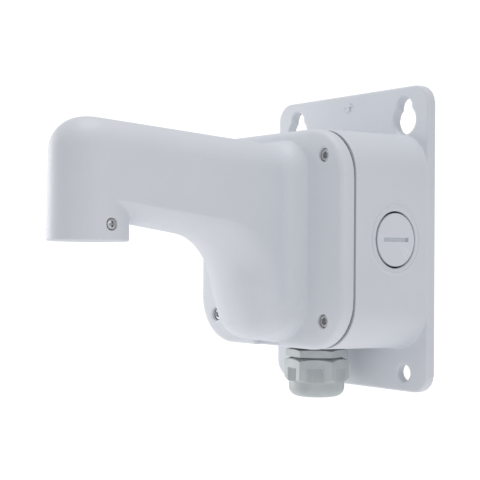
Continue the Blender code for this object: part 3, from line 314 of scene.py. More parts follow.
NYLON = grained_plastic("grey_nylon_finish", (0.46, 0.49, 0.50), 0.46, 1800.0, 0.00012)
RUBBER = grained_plastic("black_rubber_finish", (0.018, 0.018, 0.02), 0.75, 2400.0, 0.0001)
print("plastics:", NYLON.name, RUBBER.name)

# %% Metals
SPOT_SCALE, SPOT_DARK, MARK_WOBBLE = 700.0, 0.8, 3.0
METAL_POLISHED, METAL_DULL, MARK_BUMP = -0.08, 0.10, (0.15, 0.00003)


def turned_metal(name, tint, roughness, marks):
    """Metal with fine marks: a wave of rings, broken up by noise."""
    made, shader, add, link = blank_material(name)
    where = add("ShaderNodeTexCoord")
    wave = add("ShaderNodeTexWave", Scale=marks, Distortion=MARK_WOBBLE, Detail=2.0)
    link(where.outputs["Object"], wave.inputs["Vector"])
    spots = remap(add, link, noise_node(add, link, where, SPOT_SCALE, 3), 0, 1)
    dark = shaded(tint, SPOT_DARK)
    link(tinted(add, link, spots, dark, tint), shader.inputs["Base Color"])
    rough = add("ShaderNodeMapRange")
    rough.inputs["To Min"].default_value = roughness + METAL_POLISHED
    rough.inputs["To Max"].default_value = roughness + METAL_DULL
    link(wave.outputs["Fac"], rough.inputs["Value"])
    link(rough.outputs["Result"], shader.inputs["Roughness"])
    link(bumped(add, link, wave.outputs["Fac"], *MARK_BUMP), shader.inputs["Normal"])
    shader.inputs["Metallic"].default_value = 1.0
    return made


STEEL = turned_metal("stainless_steel_finish", (0.60, 0.60, 0.61), 0.32, 420.0)
BRASS = turned_metal("tinned_brass_finish", (0.74, 0.70, 0.58), 0.30, 300.0)
print("metals:", STEEL.name, BRASS.name)

# %% [markdown]
# ## Tools for solid shapes
# Three small tools make nearly every piece. A loft joins rings of points into a closed
# solid, a lathe turns a profile about an axis, and carving adds or takes away one solid
# from another with an exact Boolean. A modifier could stay live on each piece, but each
# result is the start of the next step, so it is written down as a plain mesh.

# %% Lofts, lathes and carving
RIM_STEPS = 96
SEAM_SHIFT = 0.31  # of a step, so that no two turned pieces share a corner
SHARP = math.radians(32)
UPRIGHT = Matrix.Identity(4)


def exact_turn(degrees, axis):
    """A turn by quarters, rounded to whole numbers so that flat faces stay exactly flat."""
    turn = Matrix.Rotation(math.radians(degrees), 4, axis)
    return Matrix([[round(value) for value in row] for row in turn])


TOWARDS_X = exact_turn(90, "Y")
TOWARDS_MINUS_X = exact_turn(-90, "Y")
TOWARDS_FRONT = exact_turn(90, "X")
TOWARDS_DOWN = exact_turn(180, "X")


def solid(name, bm, turn=UPRIGHT, place=(0, 0, 0)):
    """An object from a bmesh, with its faces outward and its place in its mesh."""
    bmesh.ops.recalc_face_normals(bm, faces=bm.faces)
    if bm.calc_volume(signed=True) < 0:
        bmesh.ops.reverse_faces(bm, faces=bm.faces)
    bmesh.ops.triangulate(bm, faces=bm.faces)
    mesh = bpy.data.meshes.new(name)
    bm.to_mesh(mesh)
    bm.free()
    mesh.transform(Matrix.Translation(place) @ turn)
    made = bpy.data.objects.new(name, mesh)
    bpy.context.scene.collection.objects.link(made)
    return made


def bridge(bm, rings, closed=False):
    """Joins rings of points by faces. The ends are capped, or joined to each other."""
    rows = [[bm.verts.new(point) for point in ring] for ring in rings]
    for near, far in zip(rows, rows[1:] + (rows[:1] if closed else [])):
        for i in range(len(near)):
            bm.faces.new((near[i - 1], near[i], far[i], far[i - 1]))
    if not closed:
        bm.faces.new(rows[0])
        bm.faces.new(rows[-1])
    return bm


def loft(name, rings, turn=UPRIGHT, place=(0, 0, 0), closed=False):
    return solid(name, bridge(bmesh.new(), rings, closed), turn, place)


def lathe(name, profile, turn=UPRIGHT, place=(0, 0, 0), steps=RIM_STEPS):
    """A closed profile of (radius, height) turned about local Z. A profile that starts
    and ends on the axis makes a full solid, and any other makes a ring."""
    bm = bmesh.new()
    rows = []
    for radius, height in profile:
        if radius < 1e-9:
            rows.append([bm.verts.new((0, 0, height))])
            continue
        angles = [2 * math.pi * (i + SEAM_SHIFT) / steps for i in range(steps)]
        rows.append(
            [bm.verts.new((radius * math.cos(a), radius * math.sin(a), height)) for a in angles]
        )
    pairs = list(zip(rows, rows[1:]))
    if len(rows[0]) > 1:
        pairs.append((rows[-1], rows[0]))
    for near, far in pairs:
        for i in range(steps):
            first = near[:1] if len(near) == 1 else [near[i - 1], near[i]]
            second = far[:1] if len(far) == 1 else [far[i], far[i - 1]]
            bm.faces.new(first + second)
    return solid(name, bm, turn, place)


def block(name, low, high):
    bm = bmesh.new()
    bmesh.ops.create_cube(bm, size=1.0)
    for vert in bm.verts:
        vert.co = [low[i] + (vert.co[i] + 0.5) * (high[i] - low[i]) for i in range(3)]
    return solid(name, bm)


def settle(obj):
    """Writes the result of an object's modifiers into its mesh."""
    graph = bpy.context.evaluated_depsgraph_get()
    mesh = bpy.data.meshes.new_from_object(obj.evaluated_get(graph))
    mesh.name = obj.name
    obj.modifiers.clear()
    old, obj.data = obj.data, mesh
    bpy.data.meshes.remove(old)
    return obj


def carve(target, operation, *tools):
    """Applies one Boolean with all the tools joined, then removes them. The tools may
    overlap each other, which is why the Boolean looks for self intersections."""
    bm = bmesh.new()
    for tool in tools:
        bm.from_mesh(tool.data)
        bpy.data.objects.remove(tool, do_unlink=True)
    mesh = bpy.data.meshes.new("tools")
    bm.to_mesh(mesh)
    bm.free()
    joined = bpy.data.objects.new("tools", mesh)
    bpy.context.scene.collection.objects.link(joined)
    modifier = target.modifiers.new("carve", "BOOLEAN")
    modifier.operation = operation
    modifier.solver = "EXACT"
    modifier.use_self = True
    modifier.object = joined
    settle(target)
    bpy.data.objects.remove(joined, do_unlink=True)
    return target


def open_edges(obj):
    """How many edges don't have two faces. A sound solid has none."""
    bm = bmesh.new()
    bm.from_mesh(obj.data)
    count = sum(not edge.is_manifold for edge in bm.edges)
    bm.free()
    return count


def arc(centre, radius, start, end, steps):
    """Points on an arc, by angles in degrees."""
    points = []
    for i in range(steps + 1):
        turn = math.radians(start + (end - start) * i / steps)
        points.append((centre[0] + radius * math.cos(turn), centre[1] + radius * math.sin(turn)))
    return points


print("tools ready, round pieces take", RIM_STEPS, "steps")

# %% [markdown]
# ## What makes a casting look cast
# A die casting has no sharp inner corner: wherever two walls meet, the metal flows in a
# small fillet, and the coat softens every outer edge too. A bevel on each edge would do
# it, but on a shape this curved the bevels run into each other. Instead the finished
# solid is turned into a very fine even skin of voxels, which a few rounds of smoothing
# relax by about the width of one voxel. Flat faces stay flat, and every edge goes soft
# by the same small amount, as under a real coat.

# %% Cast skin
CAST_VOXEL, CAST_ROUNDS = 0.00085, 4


def cast_skin(obj, voxel=CAST_VOXEL, rounds=CAST_ROUNDS):
    remesh = obj.modifiers.new("skin", "REMESH")
    remesh.mode = "VOXEL"
    remesh.voxel_size = voxel
    relax = obj.modifiers.new("relax", "SMOOTH")
    relax.factor = 0.5
    relax.iterations = rounds
    settle(obj)
    obj.data.shade_smooth()
    return obj


SOFT_EDGE, SMALL_EDGE, RIM_EDGE, THIN_EDGE, FINE_EDGE = 0.0003, 0.0002, 0.00012, 0.0001, 0.00008


def soft_edges(obj, width=SOFT_EDGE, segments=2):
    """Small round edges on a machined or moulded piece."""
    bevel = obj.modifiers.new("edges", "BEVEL")
    bevel.width = width
    bevel.segments = segments
    bevel.limit_method = "ANGLE"
    bevel.angle_limit = SHARP
    settle(obj)
    obj.data.shade_smooth()
    obj.data.set_sharp_from_angle(angle=SHARP)
    level = obj.modifiers.new("level", "WEIGHTED_NORMAL")
    level.keep_sharp = True
    settle(obj)
    return obj


def finish_piece(obj, finish, body, slot, *nodes):
    """Paints a piece, hangs it on its body, and lets it stand for nodes of the frame."""
    obj.data.materials.clear()
    obj.data.materials.append(finish)
    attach(obj, body)
    if nodes:
        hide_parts(*nodes)
    print(f"{obj.name}: {len(obj.data.polygons)} faces")
    return obj


print("cast skin:", round(1000 * CAST_VOXEL, 2), "mm voxels")

# %% [markdown]
# ## The junction box
# The box and the wall plate are one casting: a plate with two keyholes and two plain
# holes, and a five-sided box that grows out of it with a little draft, so that it left
# its mould. Its sizes are the frame's, so the box's rim and the plate's edges come from
# the frame's own corners.

# %% Sizes of the box
housing_low, housing_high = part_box("junction_box_housing")
plug_low, plug_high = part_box("port_plug_right")
PLATE_WIDTH = housing_high.x - housing_low.x
PLATE_HEIGHT = 0.250
PLATE_DEPTH = 0.0084
PLATE_CORNER = 0.0155
PLATE_EDGE = 0.0012
RIM_Y = housing_low.y
BOX_WIDTH, BOX_HEIGHT, BOX_MIDDLE_Z = 0.1768, 0.1726, -0.0019
BOX_CORNER, BOX_CORNER_AT_PLATE = 0.037, 0.032
BOX_DRAFT = 0.0016
BOX_WALL, BOX_FLOOR = 0.0060, 0.0092
GAP = 0.0003  # between pieces that touch
PORT_Y = (plug_low.y + plug_high.y) / 2
PORT_Z = (plug_low.z + plug_high.z) / 2
print("rim at", round(1000 * RIM_Y, 1), "mm, port at", round(1000 * PORT_Y, 1), "mm")


# %% Outlines of the box
def rounded_outline(width, height, radius, centre_z, steps=14):
    """(x, z) points round a rectangle with round corners."""
    points = []
    across, up = width / 2 - radius, height / 2 - radius
    for quarter, (x, z) in enumerate(((1, 1), (-1, 1), (-1, -1), (1, -1))):
        centre = (x * across, centre_z + z * up)
        points += arc(centre, radius, 90 * quarter, 90 * quarter + 90, steps)
    return points


def outline_ring(y, width, height, radius, inset=0, centre_z=BOX_MIDDLE_Z):
    """A rounded rectangle, drawn in by the inset, as points at one distance from the wall."""
    outline = rounded_outline(width - 2 * inset, height - 2 * inset, radius - inset, centre_z)
    return [(x, y, z) for x, z in outline]


def box_growth(y):
    """How far draft has moved the box's side out, at this distance from the rim."""
    return BOX_DRAFT * (y - RIM_Y) / -RIM_Y


def box_ring(y, inset):
    share = (y - RIM_Y) / -RIM_Y
    corner = BOX_CORNER + (BOX_CORNER_AT_PLATE - BOX_CORNER) * share
    grow = 2 * box_growth(y)
    return outline_ring(y, BOX_WIDTH + grow, BOX_HEIGHT + grow, corner, inset)


def plate_ring(y, inset):
    return outline_ring(y, PLATE_WIDTH, PLATE_HEIGHT, PLATE_CORNER, inset, 0)


def plate_blank():
    rings = [plate_ring(0, 0)]
    for inset, back in arc((PLATE_EDGE, PLATE_EDGE), PLATE_EDGE, 180, 270, 4):
        rings.append(plate_ring(-PLATE_DEPTH + back, inset))
    return loft("box_casting", rings)


print("plate", round(1000 * PLATE_WIDTH, 1), "x", round(1000 * PLATE_HEIGHT, 1), "mm")

# %% [markdown]
# The holes of the plate are cut with a cutter that flares at its mouth. That leaves a
# small countersunk edge, as a moulded hole has, with no bevel to calculate afterwards.

# %% Holes of the plate
KEYHOLE_X, KEYHOLE_Z = 0.0652, 0.0975
KEYHOLE_RADIUS, KEYHOLE_SLOT, KEYHOLE_RISE = 0.0118, 0.0075, 0.0113
KEYHOLE_SHOULDER = 0.0040
PLATE_HOLE_X, PLATE_HOLE_Z, PLATE_HOLE_RADIUS = 0.0655, -0.1099, 0.0069
CUT = 0.002  # how far a cutter runs past the face that it cuts
MOUTH = 0.0005


def flared_drill(name, radius, place, turn, depth, flare=MOUTH, steps=RIM_STEPS):
    """A drill whose mouth, at place, opens by flare. It cuts along local -Z."""
    profile = [
        (0, CUT),
        (radius + flare + CUT, CUT),
        (radius, -flare),
        (radius, -depth),
        (0, -depth),
    ]
    return lathe(name, profile, turn, place, steps)


def keyhole_cutter(x):
    """A pear-shaped hole: a round part and a slot, joined by rounded shoulders, whose
    mouth is flared like a drill's. The shoulder's centre stays put as the mouth grows."""
    side = KEYHOLE_SLOT + KEYHOLE_SHOULDER
    level = math.sqrt((KEYHOLE_RADIUS + KEYHOLE_SHOULDER) ** 2 - side**2)
    turn = math.degrees(math.atan2(level, side))
    rings = []
    for grow, y in ((MOUTH + CUT, -PLATE_DEPTH - CUT), (0, -PLATE_DEPTH + MOUTH), (0, CUT)):
        shoulder = KEYHOLE_SHOULDER - grow
        outline = arc((0, KEYHOLE_RISE), KEYHOLE_SLOT + grow, 0, 180, 32)
        outline += arc((-side, level), shoulder, 0, -turn, 8)
        outline += arc((0, 0), KEYHOLE_RADIUS + grow, 180 - turn, 360 + turn, 64)[1:]
        outline += arc((side, level), shoulder, 180 + turn, 180, 8)[1:]
        rings.append([(x + px, y, KEYHOLE_Z + pz) for px, pz in outline])
    return loft("keyhole", rings)


def plate_cutters():
    depth, front = PLATE_DEPTH + CUT * 1.5, -PLATE_DEPTH
    cutters = []
    for side in (1, -1):
        x = side * KEYHOLE_X
        cutters.append(keyhole_cutter(x))
        place = (side * PLATE_HOLE_X, front, PLATE_HOLE_Z)
        cutters.append(flared_drill("plain_hole", PLATE_HOLE_RADIUS, place, TOWARDS_FRONT, depth))
    return cutters


print("keyholes", round(1000 * 2 * KEYHOLE_RADIUS, 1), "mm wide")

# %% [markdown]
# Each side of the box has a threaded port with a low round boss, and the bottom has a
# longer boss for the gland. They are lathed and joined on, then drilled.

# %% Ports and bosses
PORT_BOSS_RADIUS, PORT_BOSS_PROUD, PORT_BOSS_DEPTH = 0.0278, 0.0007, 0.0140
PORT_BOSS_DRAFT = 0.0018
PORT_RECESS_RADIUS, PORT_THREAD_RADIUS = 0.02235, 0.0183
PORT_FACE_X = BOX_WIDTH / 2 + box_growth(PORT_Y) + PORT_BOSS_PROUD
PORT_SEAT_DEPTH = PORT_FACE_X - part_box("port_seal_right")[0].x
GLAND_BOSS_RADIUS, GLAND_THREAD_RADIUS = 0.0280, 0.0203
GLAND_FACE_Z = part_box("gland_port_seal")[1].z + GAP
GLAND_DRILL_DEPTH = 0.015
SCREW_X, SCREW_TOP_Z, SCREW_BOTTOM_Z = 0.0659, 0.0626, -0.0653
SCREW_PLACES = (
    (SCREW_X, SCREW_TOP_Z),
    (-SCREW_X, SCREW_TOP_Z),
    (-SCREW_X, SCREW_BOTTOM_Z),
    (SCREW_X, SCREW_BOTTOM_Z),
)
SCREW_BOSS_RADIUS = 0.0105
TAPPED_RADIUS, TAPPED_DEPTH = 0.0033, 0.024
FEW_STEPS, SOME_STEPS = 32, 48  # round small pieces
SIDE_NAMES = {1: "right", -1: "left"}


def side_frame(side):
    """Direction, middle and edge of a side port's outer face."""
    turn = TOWARDS_X if side > 0 else TOWARDS_MINUS_X
    return turn, (side * PORT_FACE_X, PORT_Y, PORT_Z), PORT_BOSS_PROUD


def side_boss(side):
    turn, face, edge = side_frame(side)
    return lathe(
        "port_boss",
        [
            (0, 0),
            (PORT_BOSS_RADIUS - edge, 0),
            (PORT_BOSS_RADIUS, -edge),
            (PORT_BOSS_RADIUS, -PORT_BOSS_DEPTH / 2),
            (PORT_BOSS_RADIUS - PORT_BOSS_DRAFT, -PORT_BOSS_DEPTH),
            (0, -PORT_BOSS_DEPTH),
        ],
        turn,
        face,
    )


def side_drills(side):
    turn, face, edge = side_frame(side)
    recess = flared_drill("port_recess", PORT_RECESS_RADIUS, face, turn, PORT_SEAT_DEPTH, edge)
    thread = flared_drill("port_thread", PORT_THREAD_RADIUS, face, turn, PORT_BOSS_DEPTH + CUT, 0)
    return recess, thread


def gland_boss():
    inside_z = BOX_MIDDLE_Z - BOX_HEIGHT / 2 + BOX_WALL
    height = inside_z - GLAND_FACE_Z - BOX_WALL / 3
    return lathe(
        "gland_boss",
        [
            (0, 0),
            (GLAND_BOSS_RADIUS - MOUTH, 0),
            (GLAND_BOSS_RADIUS, -MOUTH),
            (GLAND_BOSS_RADIUS, -height),
            (0, -height),
        ],
        TOWARDS_DOWN,
        (0, PORT_Y, GLAND_FACE_Z),
    )


def gland_drill():
    place = (0, PORT_Y, GLAND_FACE_Z)
    return flared_drill(
        "gland_drill", GLAND_THREAD_RADIUS, place, TOWARDS_DOWN, GLAND_DRILL_DEPTH, GAP
    )


print("port seat", round(1000 * PORT_SEAT_DEPTH, 2), "mm deep")


# %% Box casting
def box_casting():
    box = plate_blank()
    carve(box, "UNION", loft("outer", [box_ring(RIM_Y, 0), box_ring(-PLATE_DEPTH / 2, 0)]))
    inner = loft("inner", [box_ring(RIM_Y - CUT, BOX_WALL), box_ring(-BOX_FLOOR, BOX_WALL)])
    carve(box, "DIFFERENCE", inner)
    bosses = [side_boss(1), side_boss(-1), gland_boss()]
    drills = [*side_drills(1), *side_drills(-1), gland_drill()]
    for x, z in SCREW_PLACES:
        rise = -RIM_Y - GAP - PLATE_DEPTH / 2
        profile = [(0, rise), (SCREW_BOSS_RADIUS, rise), (SCREW_BOSS_RADIUS, 0), (0, 0)]
        bosses.append(lathe("boss", profile, TOWARDS_FRONT, (x, -PLATE_DEPTH / 2, z), SOME_STEPS))
        mouth = (x, RIM_Y + GAP, z)
        drills.append(
            flared_drill(
                "tapped_hole", TAPPED_RADIUS, mouth, TOWARDS_FRONT, TAPPED_DEPTH, MOUTH, FEW_STEPS
            )
        )
    carve(box, "UNION", *bosses)
    carve(box, "DIFFERENCE", *drills)
    carve(box, "DIFFERENCE", *plate_cutters())
    print("box before its skin:", open_edges(box), "open edges")
    return cast_skin(box)


box_piece = box_casting()
finish_piece(box_piece, WHITE_COAT, "mount", "white_powder_coat", "junction_box_housing")

# %% [markdown]
# A small raised arrow on the plate shows which way is up. It stands less than a
# millimetre proud, about a voxel, so it is a piece of its own with its own soft edge.

# %% Up arrow
ARROW_Z, ARROW_HEIGHT, ARROW_WIDTH = 0.1146, 0.0080, 0.0098
ARROW_SHAFT, ARROW_RELIEF = 0.0036, 0.0008


def up_arrow():
    tip, foot = ARROW_Z + ARROW_HEIGHT / 2, ARROW_Z - ARROW_HEIGHT / 2
    half, shaft = ARROW_WIDTH / 2, ARROW_SHAFT / 2
    right = [(0, tip), (half, ARROW_Z), (shaft, ARROW_Z), (shaft, foot)]
    outline = right + [(-x, z) for x, z in reversed(right[1:])]
    depths = (-PLATE_DEPTH / 2, -PLATE_DEPTH - ARROW_RELIEF)
    arrow = loft("up_arrow", [[(x, y, z) for x, z in outline] for y in depths])
    return soft_edges(arrow, SMALL_EDGE)


finish_piece(up_arrow(), WHITE_COAT, "mount", "white_powder_coat")
print("arrow stands", round(1000 * ARROW_RELIEF, 1), "mm proud")

# %% [markdown]
# ## The arm
# The arm is the hardest shape: a tall flat-sided root that narrows to a beam, bends
# forward over a deep chin, and ends in a round cup. Sculpting could reach it, but not
# exactly. It is built as a pattern maker would: two guide lines drawn from the side, the
# keel along the very bottom and the crease where flat side meets round belly, and a
# cross-section that is carried along both.

# %% Sizes of the arm
arm_low, arm_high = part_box("wall_arm")
END_RADIUS = 0.02965
END_Y = arm_low.y + END_RADIUS
END_MOUTH_Z = -0.0064
END_DRAFT = 0.0008
FLANGE = 0.0120
FLANGE_BACK_Y = arm_high.y
FLANGE_FRONT_Y = FLANGE_BACK_Y - FLANGE
FLANGE_CORNER, FLANGE_EDGE = 0.0395, 0.0050
ARM_TOP_Z, ARM_TOP_SLOPE, ARM_TOP_EDGE = 0.0828, 0.0572, 0.0250
ARM_TOP_FLARE_RADIUS, ARM_TOP_FLARE = 0.020, 0.0112
ARM_HALF_WIDTH, ARM_SIDE_TAPER = 0.0290, 0.053
SIDE_FLARE_RADIUS, SIDE_FLARE = 0.020, 0.0178
ARM_WALL = 0.0050
print("end's axis at", round(1000 * END_Y, 1), "mm from the wall")


# %% Guide lines of the arm
KEEL_CORNERS = ((END_Y, 0.0117), (-0.1556, -0.0033), (-0.1295, -0.0805), (FLANGE_FRONT_Y, -0.0838))
KEEL_RADII = (0.053, 0.018)
KEEL_STEPS = (12, 18, 3, 12, 3)
CREASE_CORNERS = ((END_Y, 0.0233), (-0.1135, 0.0055), (-0.1135, -0.050))
CREASE_RADII = (0.061,)
CREASE_STEPS = (12, 18, 3)
CREASE_FOOT_STEPS = 15


def rounded_path(corners, radii, counts):
    """Points along straight runs whose corners are rounded, with so many steps on each
    straight run and on each arc between."""
    corners = [Vector(corner) for corner in corners]
    starts, ends, bends = [corners[0]], [], []
    for before, corner, after, radius in zip(corners, corners[1:], corners[2:], radii):
        inward, onward = (before - corner).normalized(), (after - corner).normalized()
        half_turn = (math.pi - inward.angle(onward)) / 2
        reach = radius * math.tan(half_turn)
        centre = corner + (inward + onward).normalized() * radius / math.cos(half_turn)
        bends.append((corner + inward * reach, corner + onward * reach, centre))
        ends.append(corner + inward * reach)
        starts.append(corner + onward * reach)
    ends.append(corners[-1])
    points = [corners[0]]
    for i, (start, end) in enumerate(zip(starts, ends)):
        points += [start.lerp(end, k / counts[2 * i]) for k in range(1, counts[2 * i] + 1)]
        if i < len(bends):
            first, last, centre = bends[i]
            steps = counts[2 * i + 1]
            for k in range(1, steps + 1):
                spoke = (first - centre).slerp(last - centre, k / steps).normalized()
                points.append(centre + spoke * radii[i])
    return points


def crease_line():
    points = rounded_path(CREASE_CORNERS, CREASE_RADII, CREASE_STEPS)
    foot, root = points[-1], Vector((FLANGE_FRONT_Y, CREASE_CORNERS[-1][1]))
    steps = CREASE_FOOT_STEPS
    return points + [foot.lerp(root, k / steps) for k in range(1, steps + 1)]


keel = rounded_path(KEEL_CORNERS, KEEL_RADII, KEEL_STEPS)
crease = crease_line()
print("guide lines:", len(keel), "and", len(crease), "points")

# %% [markdown]
# The section is flat on both sides, round on top with a 25 mm edge, and belly-round
# below. Near the flange all of it flares out on a 20 mm radius, so that the load of the
# camera spreads into the flange without a corner.

# %% Cross-sections of the arm
BELLY_TURN_AT_TIP, BELLY_TURN_AT_ROOT = 0.80, 1.50
BELLY_TURN_PACE = 1.4  # the root's turn is reached this much before the root
ROOT_SQUARENESS = 0.83  # comes in over the last third
BELLY_STEPS, SIDE_STEPS, EDGE_STEPS = 22, 6, 10


def flare(into, length, radius):
    return radius - math.sqrt(radius**2 - min(max(into, 0), length) ** 2)


def half_width(y, flared):
    width = ARM_HALF_WIDTH + ARM_SIDE_TAPER * (y - END_Y)
    into = y - (FLANGE_FRONT_Y - SIDE_FLARE)
    return width + (flare(into, SIDE_FLARE, SIDE_FLARE_RADIUS) if flared else 0)


def top_height(y, flared):
    height = ARM_TOP_Z - ARM_TOP_SLOPE * (y - END_Y)
    into = y - (FLANGE_FRONT_Y - ARM_TOP_FLARE)
    return height + (flare(into, ARM_TOP_FLARE, ARM_TOP_FLARE_RADIUS) if flared else 0)


def belly_points(low, middle, width, share):
    """Round underside from the keel out to the crease."""
    pace = min(1, share * BELLY_TURN_PACE)
    turn = BELLY_TURN_AT_TIP + (BELLY_TURN_AT_ROOT - BELLY_TURN_AT_TIP) * pace
    square = 1 + (ROOT_SQUARENESS - 1) * max(0, share * 3 - 2)
    points = []
    for i in range(BELLY_STEPS + 1):
        angle = turn * i / BELLY_STEPS
        across = (math.sin(angle) / math.sin(turn)) ** square
        fall = max(0, math.cos(angle) - math.cos(turn)) / (1 - math.cos(turn))
        level = middle.lerp(low, fall**square)
        points.append((width * across, level.x, level.y))
    return points


def section(low, middle, top_y, share, inset, flared):
    top = top_height(top_y, flared) - inset
    upper = Vector((top_y, top - ARM_TOP_EDGE))
    middle = middle + (upper - middle).normalized() * inset
    points = belly_points(low, middle, half_width(middle.x, flared) - inset, share)
    for i in range(1, SIDE_STEPS + 1):
        side = middle.lerp(upper, i / SIDE_STEPS)
        points.append((half_width(side.x, flared) - inset, side.x, side.y))
    edge = ARM_TOP_EDGE - inset
    width = half_width(top_y, flared) - inset
    for x, z in arc((width - edge, top - edge), edge, 0, 90, EDGE_STEPS)[1:]:
        points.append((x, top_y, z))
    points.append((0, top_y, top))
    return points + [(-x, y, z) for x, y, z in reversed(points[1:-1])]


def arm_sections(inset, flared):
    travelled = [0.0]
    for before, after in zip(crease, crease[1:]):
        travelled.append(travelled[-1] + (after - before).length)
    rings = []
    for i, (low, middle) in enumerate(zip(keel, crease)):
        share = travelled[i] / travelled[-1]
        ahead = keel[min(i + 1, len(keel) - 1)] - keel[max(i - 1, 0)]
        inward = Vector((-ahead.y, ahead.x)).normalized()
        top_y = END_Y + (FLANGE_FRONT_Y - END_Y) * share
        rings.append(section(low + inward * inset, middle, top_y, share, inset, flared))
    return rings


print("sections hold", len(arm_sections(0, True)[0]), "points each")

# %% [markdown]
# The flange is a plate whose front rolls back to its edge like a cushion, and the end is
# a lathed cup. Joining them to the loft, hollowing the whole and drilling the screw holes
# is then a row of Booleans, in the order a foundry and a drill press would work.

# %% Flange and cup
COUNTERBORE_RADIUS, COUNTERBORE_DEPTH = 0.0054, 0.0086
MOUTH_BORE_RADIUS, MOUTH_THREAD_DEPTH, MOUTH_CHAMFER = 0.0224, 0.0240, 0.0010
NOTCH_WIDTH, NOTCH_HEIGHT, NOTCH_DEPTH = 0.033, 0.0040, 0.0088
FLANGE_EDGE_STEPS = 12


def flange_ring(inset, y):
    return outline_ring(y, BOX_WIDTH, BOX_HEIGHT, FLANGE_CORNER, inset)


def flange_blank():
    rings = [flange_ring(0, FLANGE_BACK_Y)]
    for i in range(FLANGE_EDGE_STEPS + 1):
        turn = math.radians(90 * i / FLANGE_EDGE_STEPS)
        inset = FLANGE_EDGE * (1 - math.cos(turn))
        rings.append(flange_ring(inset, FLANGE_FRONT_Y + FLANGE_EDGE * (1 - math.sin(turn))))
    return loft("flange", rings)


def cup(inset):
    """The round end, or its inside where inset is the wall."""
    edge = ARM_TOP_EDGE - inset
    radius = END_RADIUS - END_DRAFT - inset
    top = ARM_TOP_Z - inset
    profile = [(0, top)] + arc((radius - edge, top - edge), edge, 90, 0, 16)
    if not inset:
        profile += [
            (END_RADIUS, END_MOUTH_Z + MOUTH_CHAMFER),
            (END_RADIUS - MOUTH_CHAMFER, END_MOUTH_Z),
            (0, END_MOUTH_Z),
        ]
        return lathe("cup", profile, place=(0, END_Y, 0))
    thread_top = END_MOUTH_Z + MOUTH_THREAD_DEPTH
    profile += [
        (radius, thread_top + radius - MOUTH_BORE_RADIUS),
        (MOUTH_BORE_RADIUS, thread_top),
        (MOUTH_BORE_RADIUS, END_MOUTH_Z + MOUTH_CHAMFER),
        (MOUTH_BORE_RADIUS + 2 * MOUTH_CHAMFER, END_MOUTH_Z - MOUTH_CHAMFER),
        (0, END_MOUTH_Z - MOUTH_CHAMFER),
    ]
    return lathe("cup_inside", profile, place=(0, END_Y, 0))


print("flange", round(1000 * FLANGE, 1), "mm thick")


# %% Arm casting
lock_low, lock_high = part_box("lock_screw")
LOCK_Y, LOCK_Z = (lock_low.y + lock_high.y) / 2, (lock_low.z + lock_high.z) / 2
LOCK_RECESS_RADIUS, LOCK_RECESS = 0.0045, 0.0037
LOCK_FACE_X = math.sqrt(END_RADIUS**2 - (LOCK_Y - END_Y) ** 2)
SCREW_HOLE_RADIUS, LOCK_HOLE_RADIUS, SINK_STEPS = 0.0033, 0.0028, 64


def sunk_hole(face, turn, wide, wide_depth, narrow, depth):
    """A clearance hole with a flat-bottomed sink for a screw's head."""
    sink = flared_drill("sink", wide, face, turn, wide_depth, MOUTH, SINK_STEPS)
    return [sink, flared_drill("hole", narrow, face, turn, depth, 0, FEW_STEPS)]


def arm_casting():
    outside = arm_sections(0, True)
    outside.append([(x, FLANGE_BACK_Y - FLANGE / 2, z) for x, y, z in outside[-1]])
    arm = loft("arm_casting", outside)
    carve(arm, "UNION", flange_blank(), cup(0))
    print("arm joined:", open_edges(arm), "open edges")
    inside = arm_sections(ARM_WALL, False)
    inside.append([(x, FLANGE_BACK_Y + CUT, z) for x, y, z in inside[-1]])
    carve(arm, "DIFFERENCE", loft("arm_inside", inside), cup(ARM_WALL))
    drills = []
    for x, z in SCREW_PLACES:
        face = (x, FLANGE_FRONT_Y, z)
        sizes = (COUNTERBORE_RADIUS, COUNTERBORE_DEPTH, SCREW_HOLE_RADIUS, FLANGE + CUT)
        drills += sunk_hole(face, TOWARDS_FRONT, *sizes)
    face = (LOCK_FACE_X, LOCK_Y, LOCK_Z)
    sizes = (LOCK_RECESS_RADIUS, LOCK_RECESS, LOCK_HOLE_RADIUS, END_RADIUS)
    drills += sunk_hole(face, TOWARDS_X, *sizes)
    bottom = BOX_MIDDLE_Z - BOX_HEIGHT / 2
    notch = block(
        "drain_notch",
        (-NOTCH_WIDTH / 2, FLANGE_FRONT_Y - CUT, bottom - CUT),
        (NOTCH_WIDTH / 2, FLANGE_FRONT_Y + NOTCH_DEPTH, bottom + NOTCH_HEIGHT),
    )
    carve(arm, "DIFFERENCE", notch, *drills)
    print("arm before its skin:", open_edges(arm), "open edges")
    return cast_skin(arm)


arm_piece = arm_casting()
finish_piece(arm_piece, WHITE_COAT, "mount", "white_powder_coat", "wall_arm")

# %% [markdown]
# ## Screws of the arm
# Four stainless socket screws hold the arm, each over a split spring washer. They sit
# deep in their holes, so little shows, but a screw is only believable if its head has a
# knurl and its washer has the twist of a real spring: it is swept along a helix.

# %% Socket screws
SCREW_HEAD_RADIUS, SCREW_RADIUS, SCREW_HEAD, SOCKET_FLATS = 0.0050, 0.0030, 0.0042, 0.0050
KNURLS, KNURL_DEPTH, KNURL_STEPS = 36, 0.00012, 4
HEAD_FOOT, HEAD_EDGE, HEAD_INSET = 0.0003, 0.0005, 0.0004
FOOT_KNURL = 0.3  # of the full knurl, at the head's foot
SOCKET_FLOOR = 0.4  # of the head's height
SHANK_SUNK = 0.001


def hexagon(name, flats, low, high, face_turn, turn=UPRIGHT, place=(0, 0, 0)):
    """A hexagonal prism with one face square to the angle face_turn about Z."""
    corner = flats / 2 / math.cos(math.radians(30))
    angles = [face_turn + math.radians(30 + 60 * i) for i in range(6)]
    rings = [
        [(corner * math.cos(a), corner * math.sin(a), height) for a in angles]
        for height in (low, high)
    ]
    return loft(name, rings, turn, place)


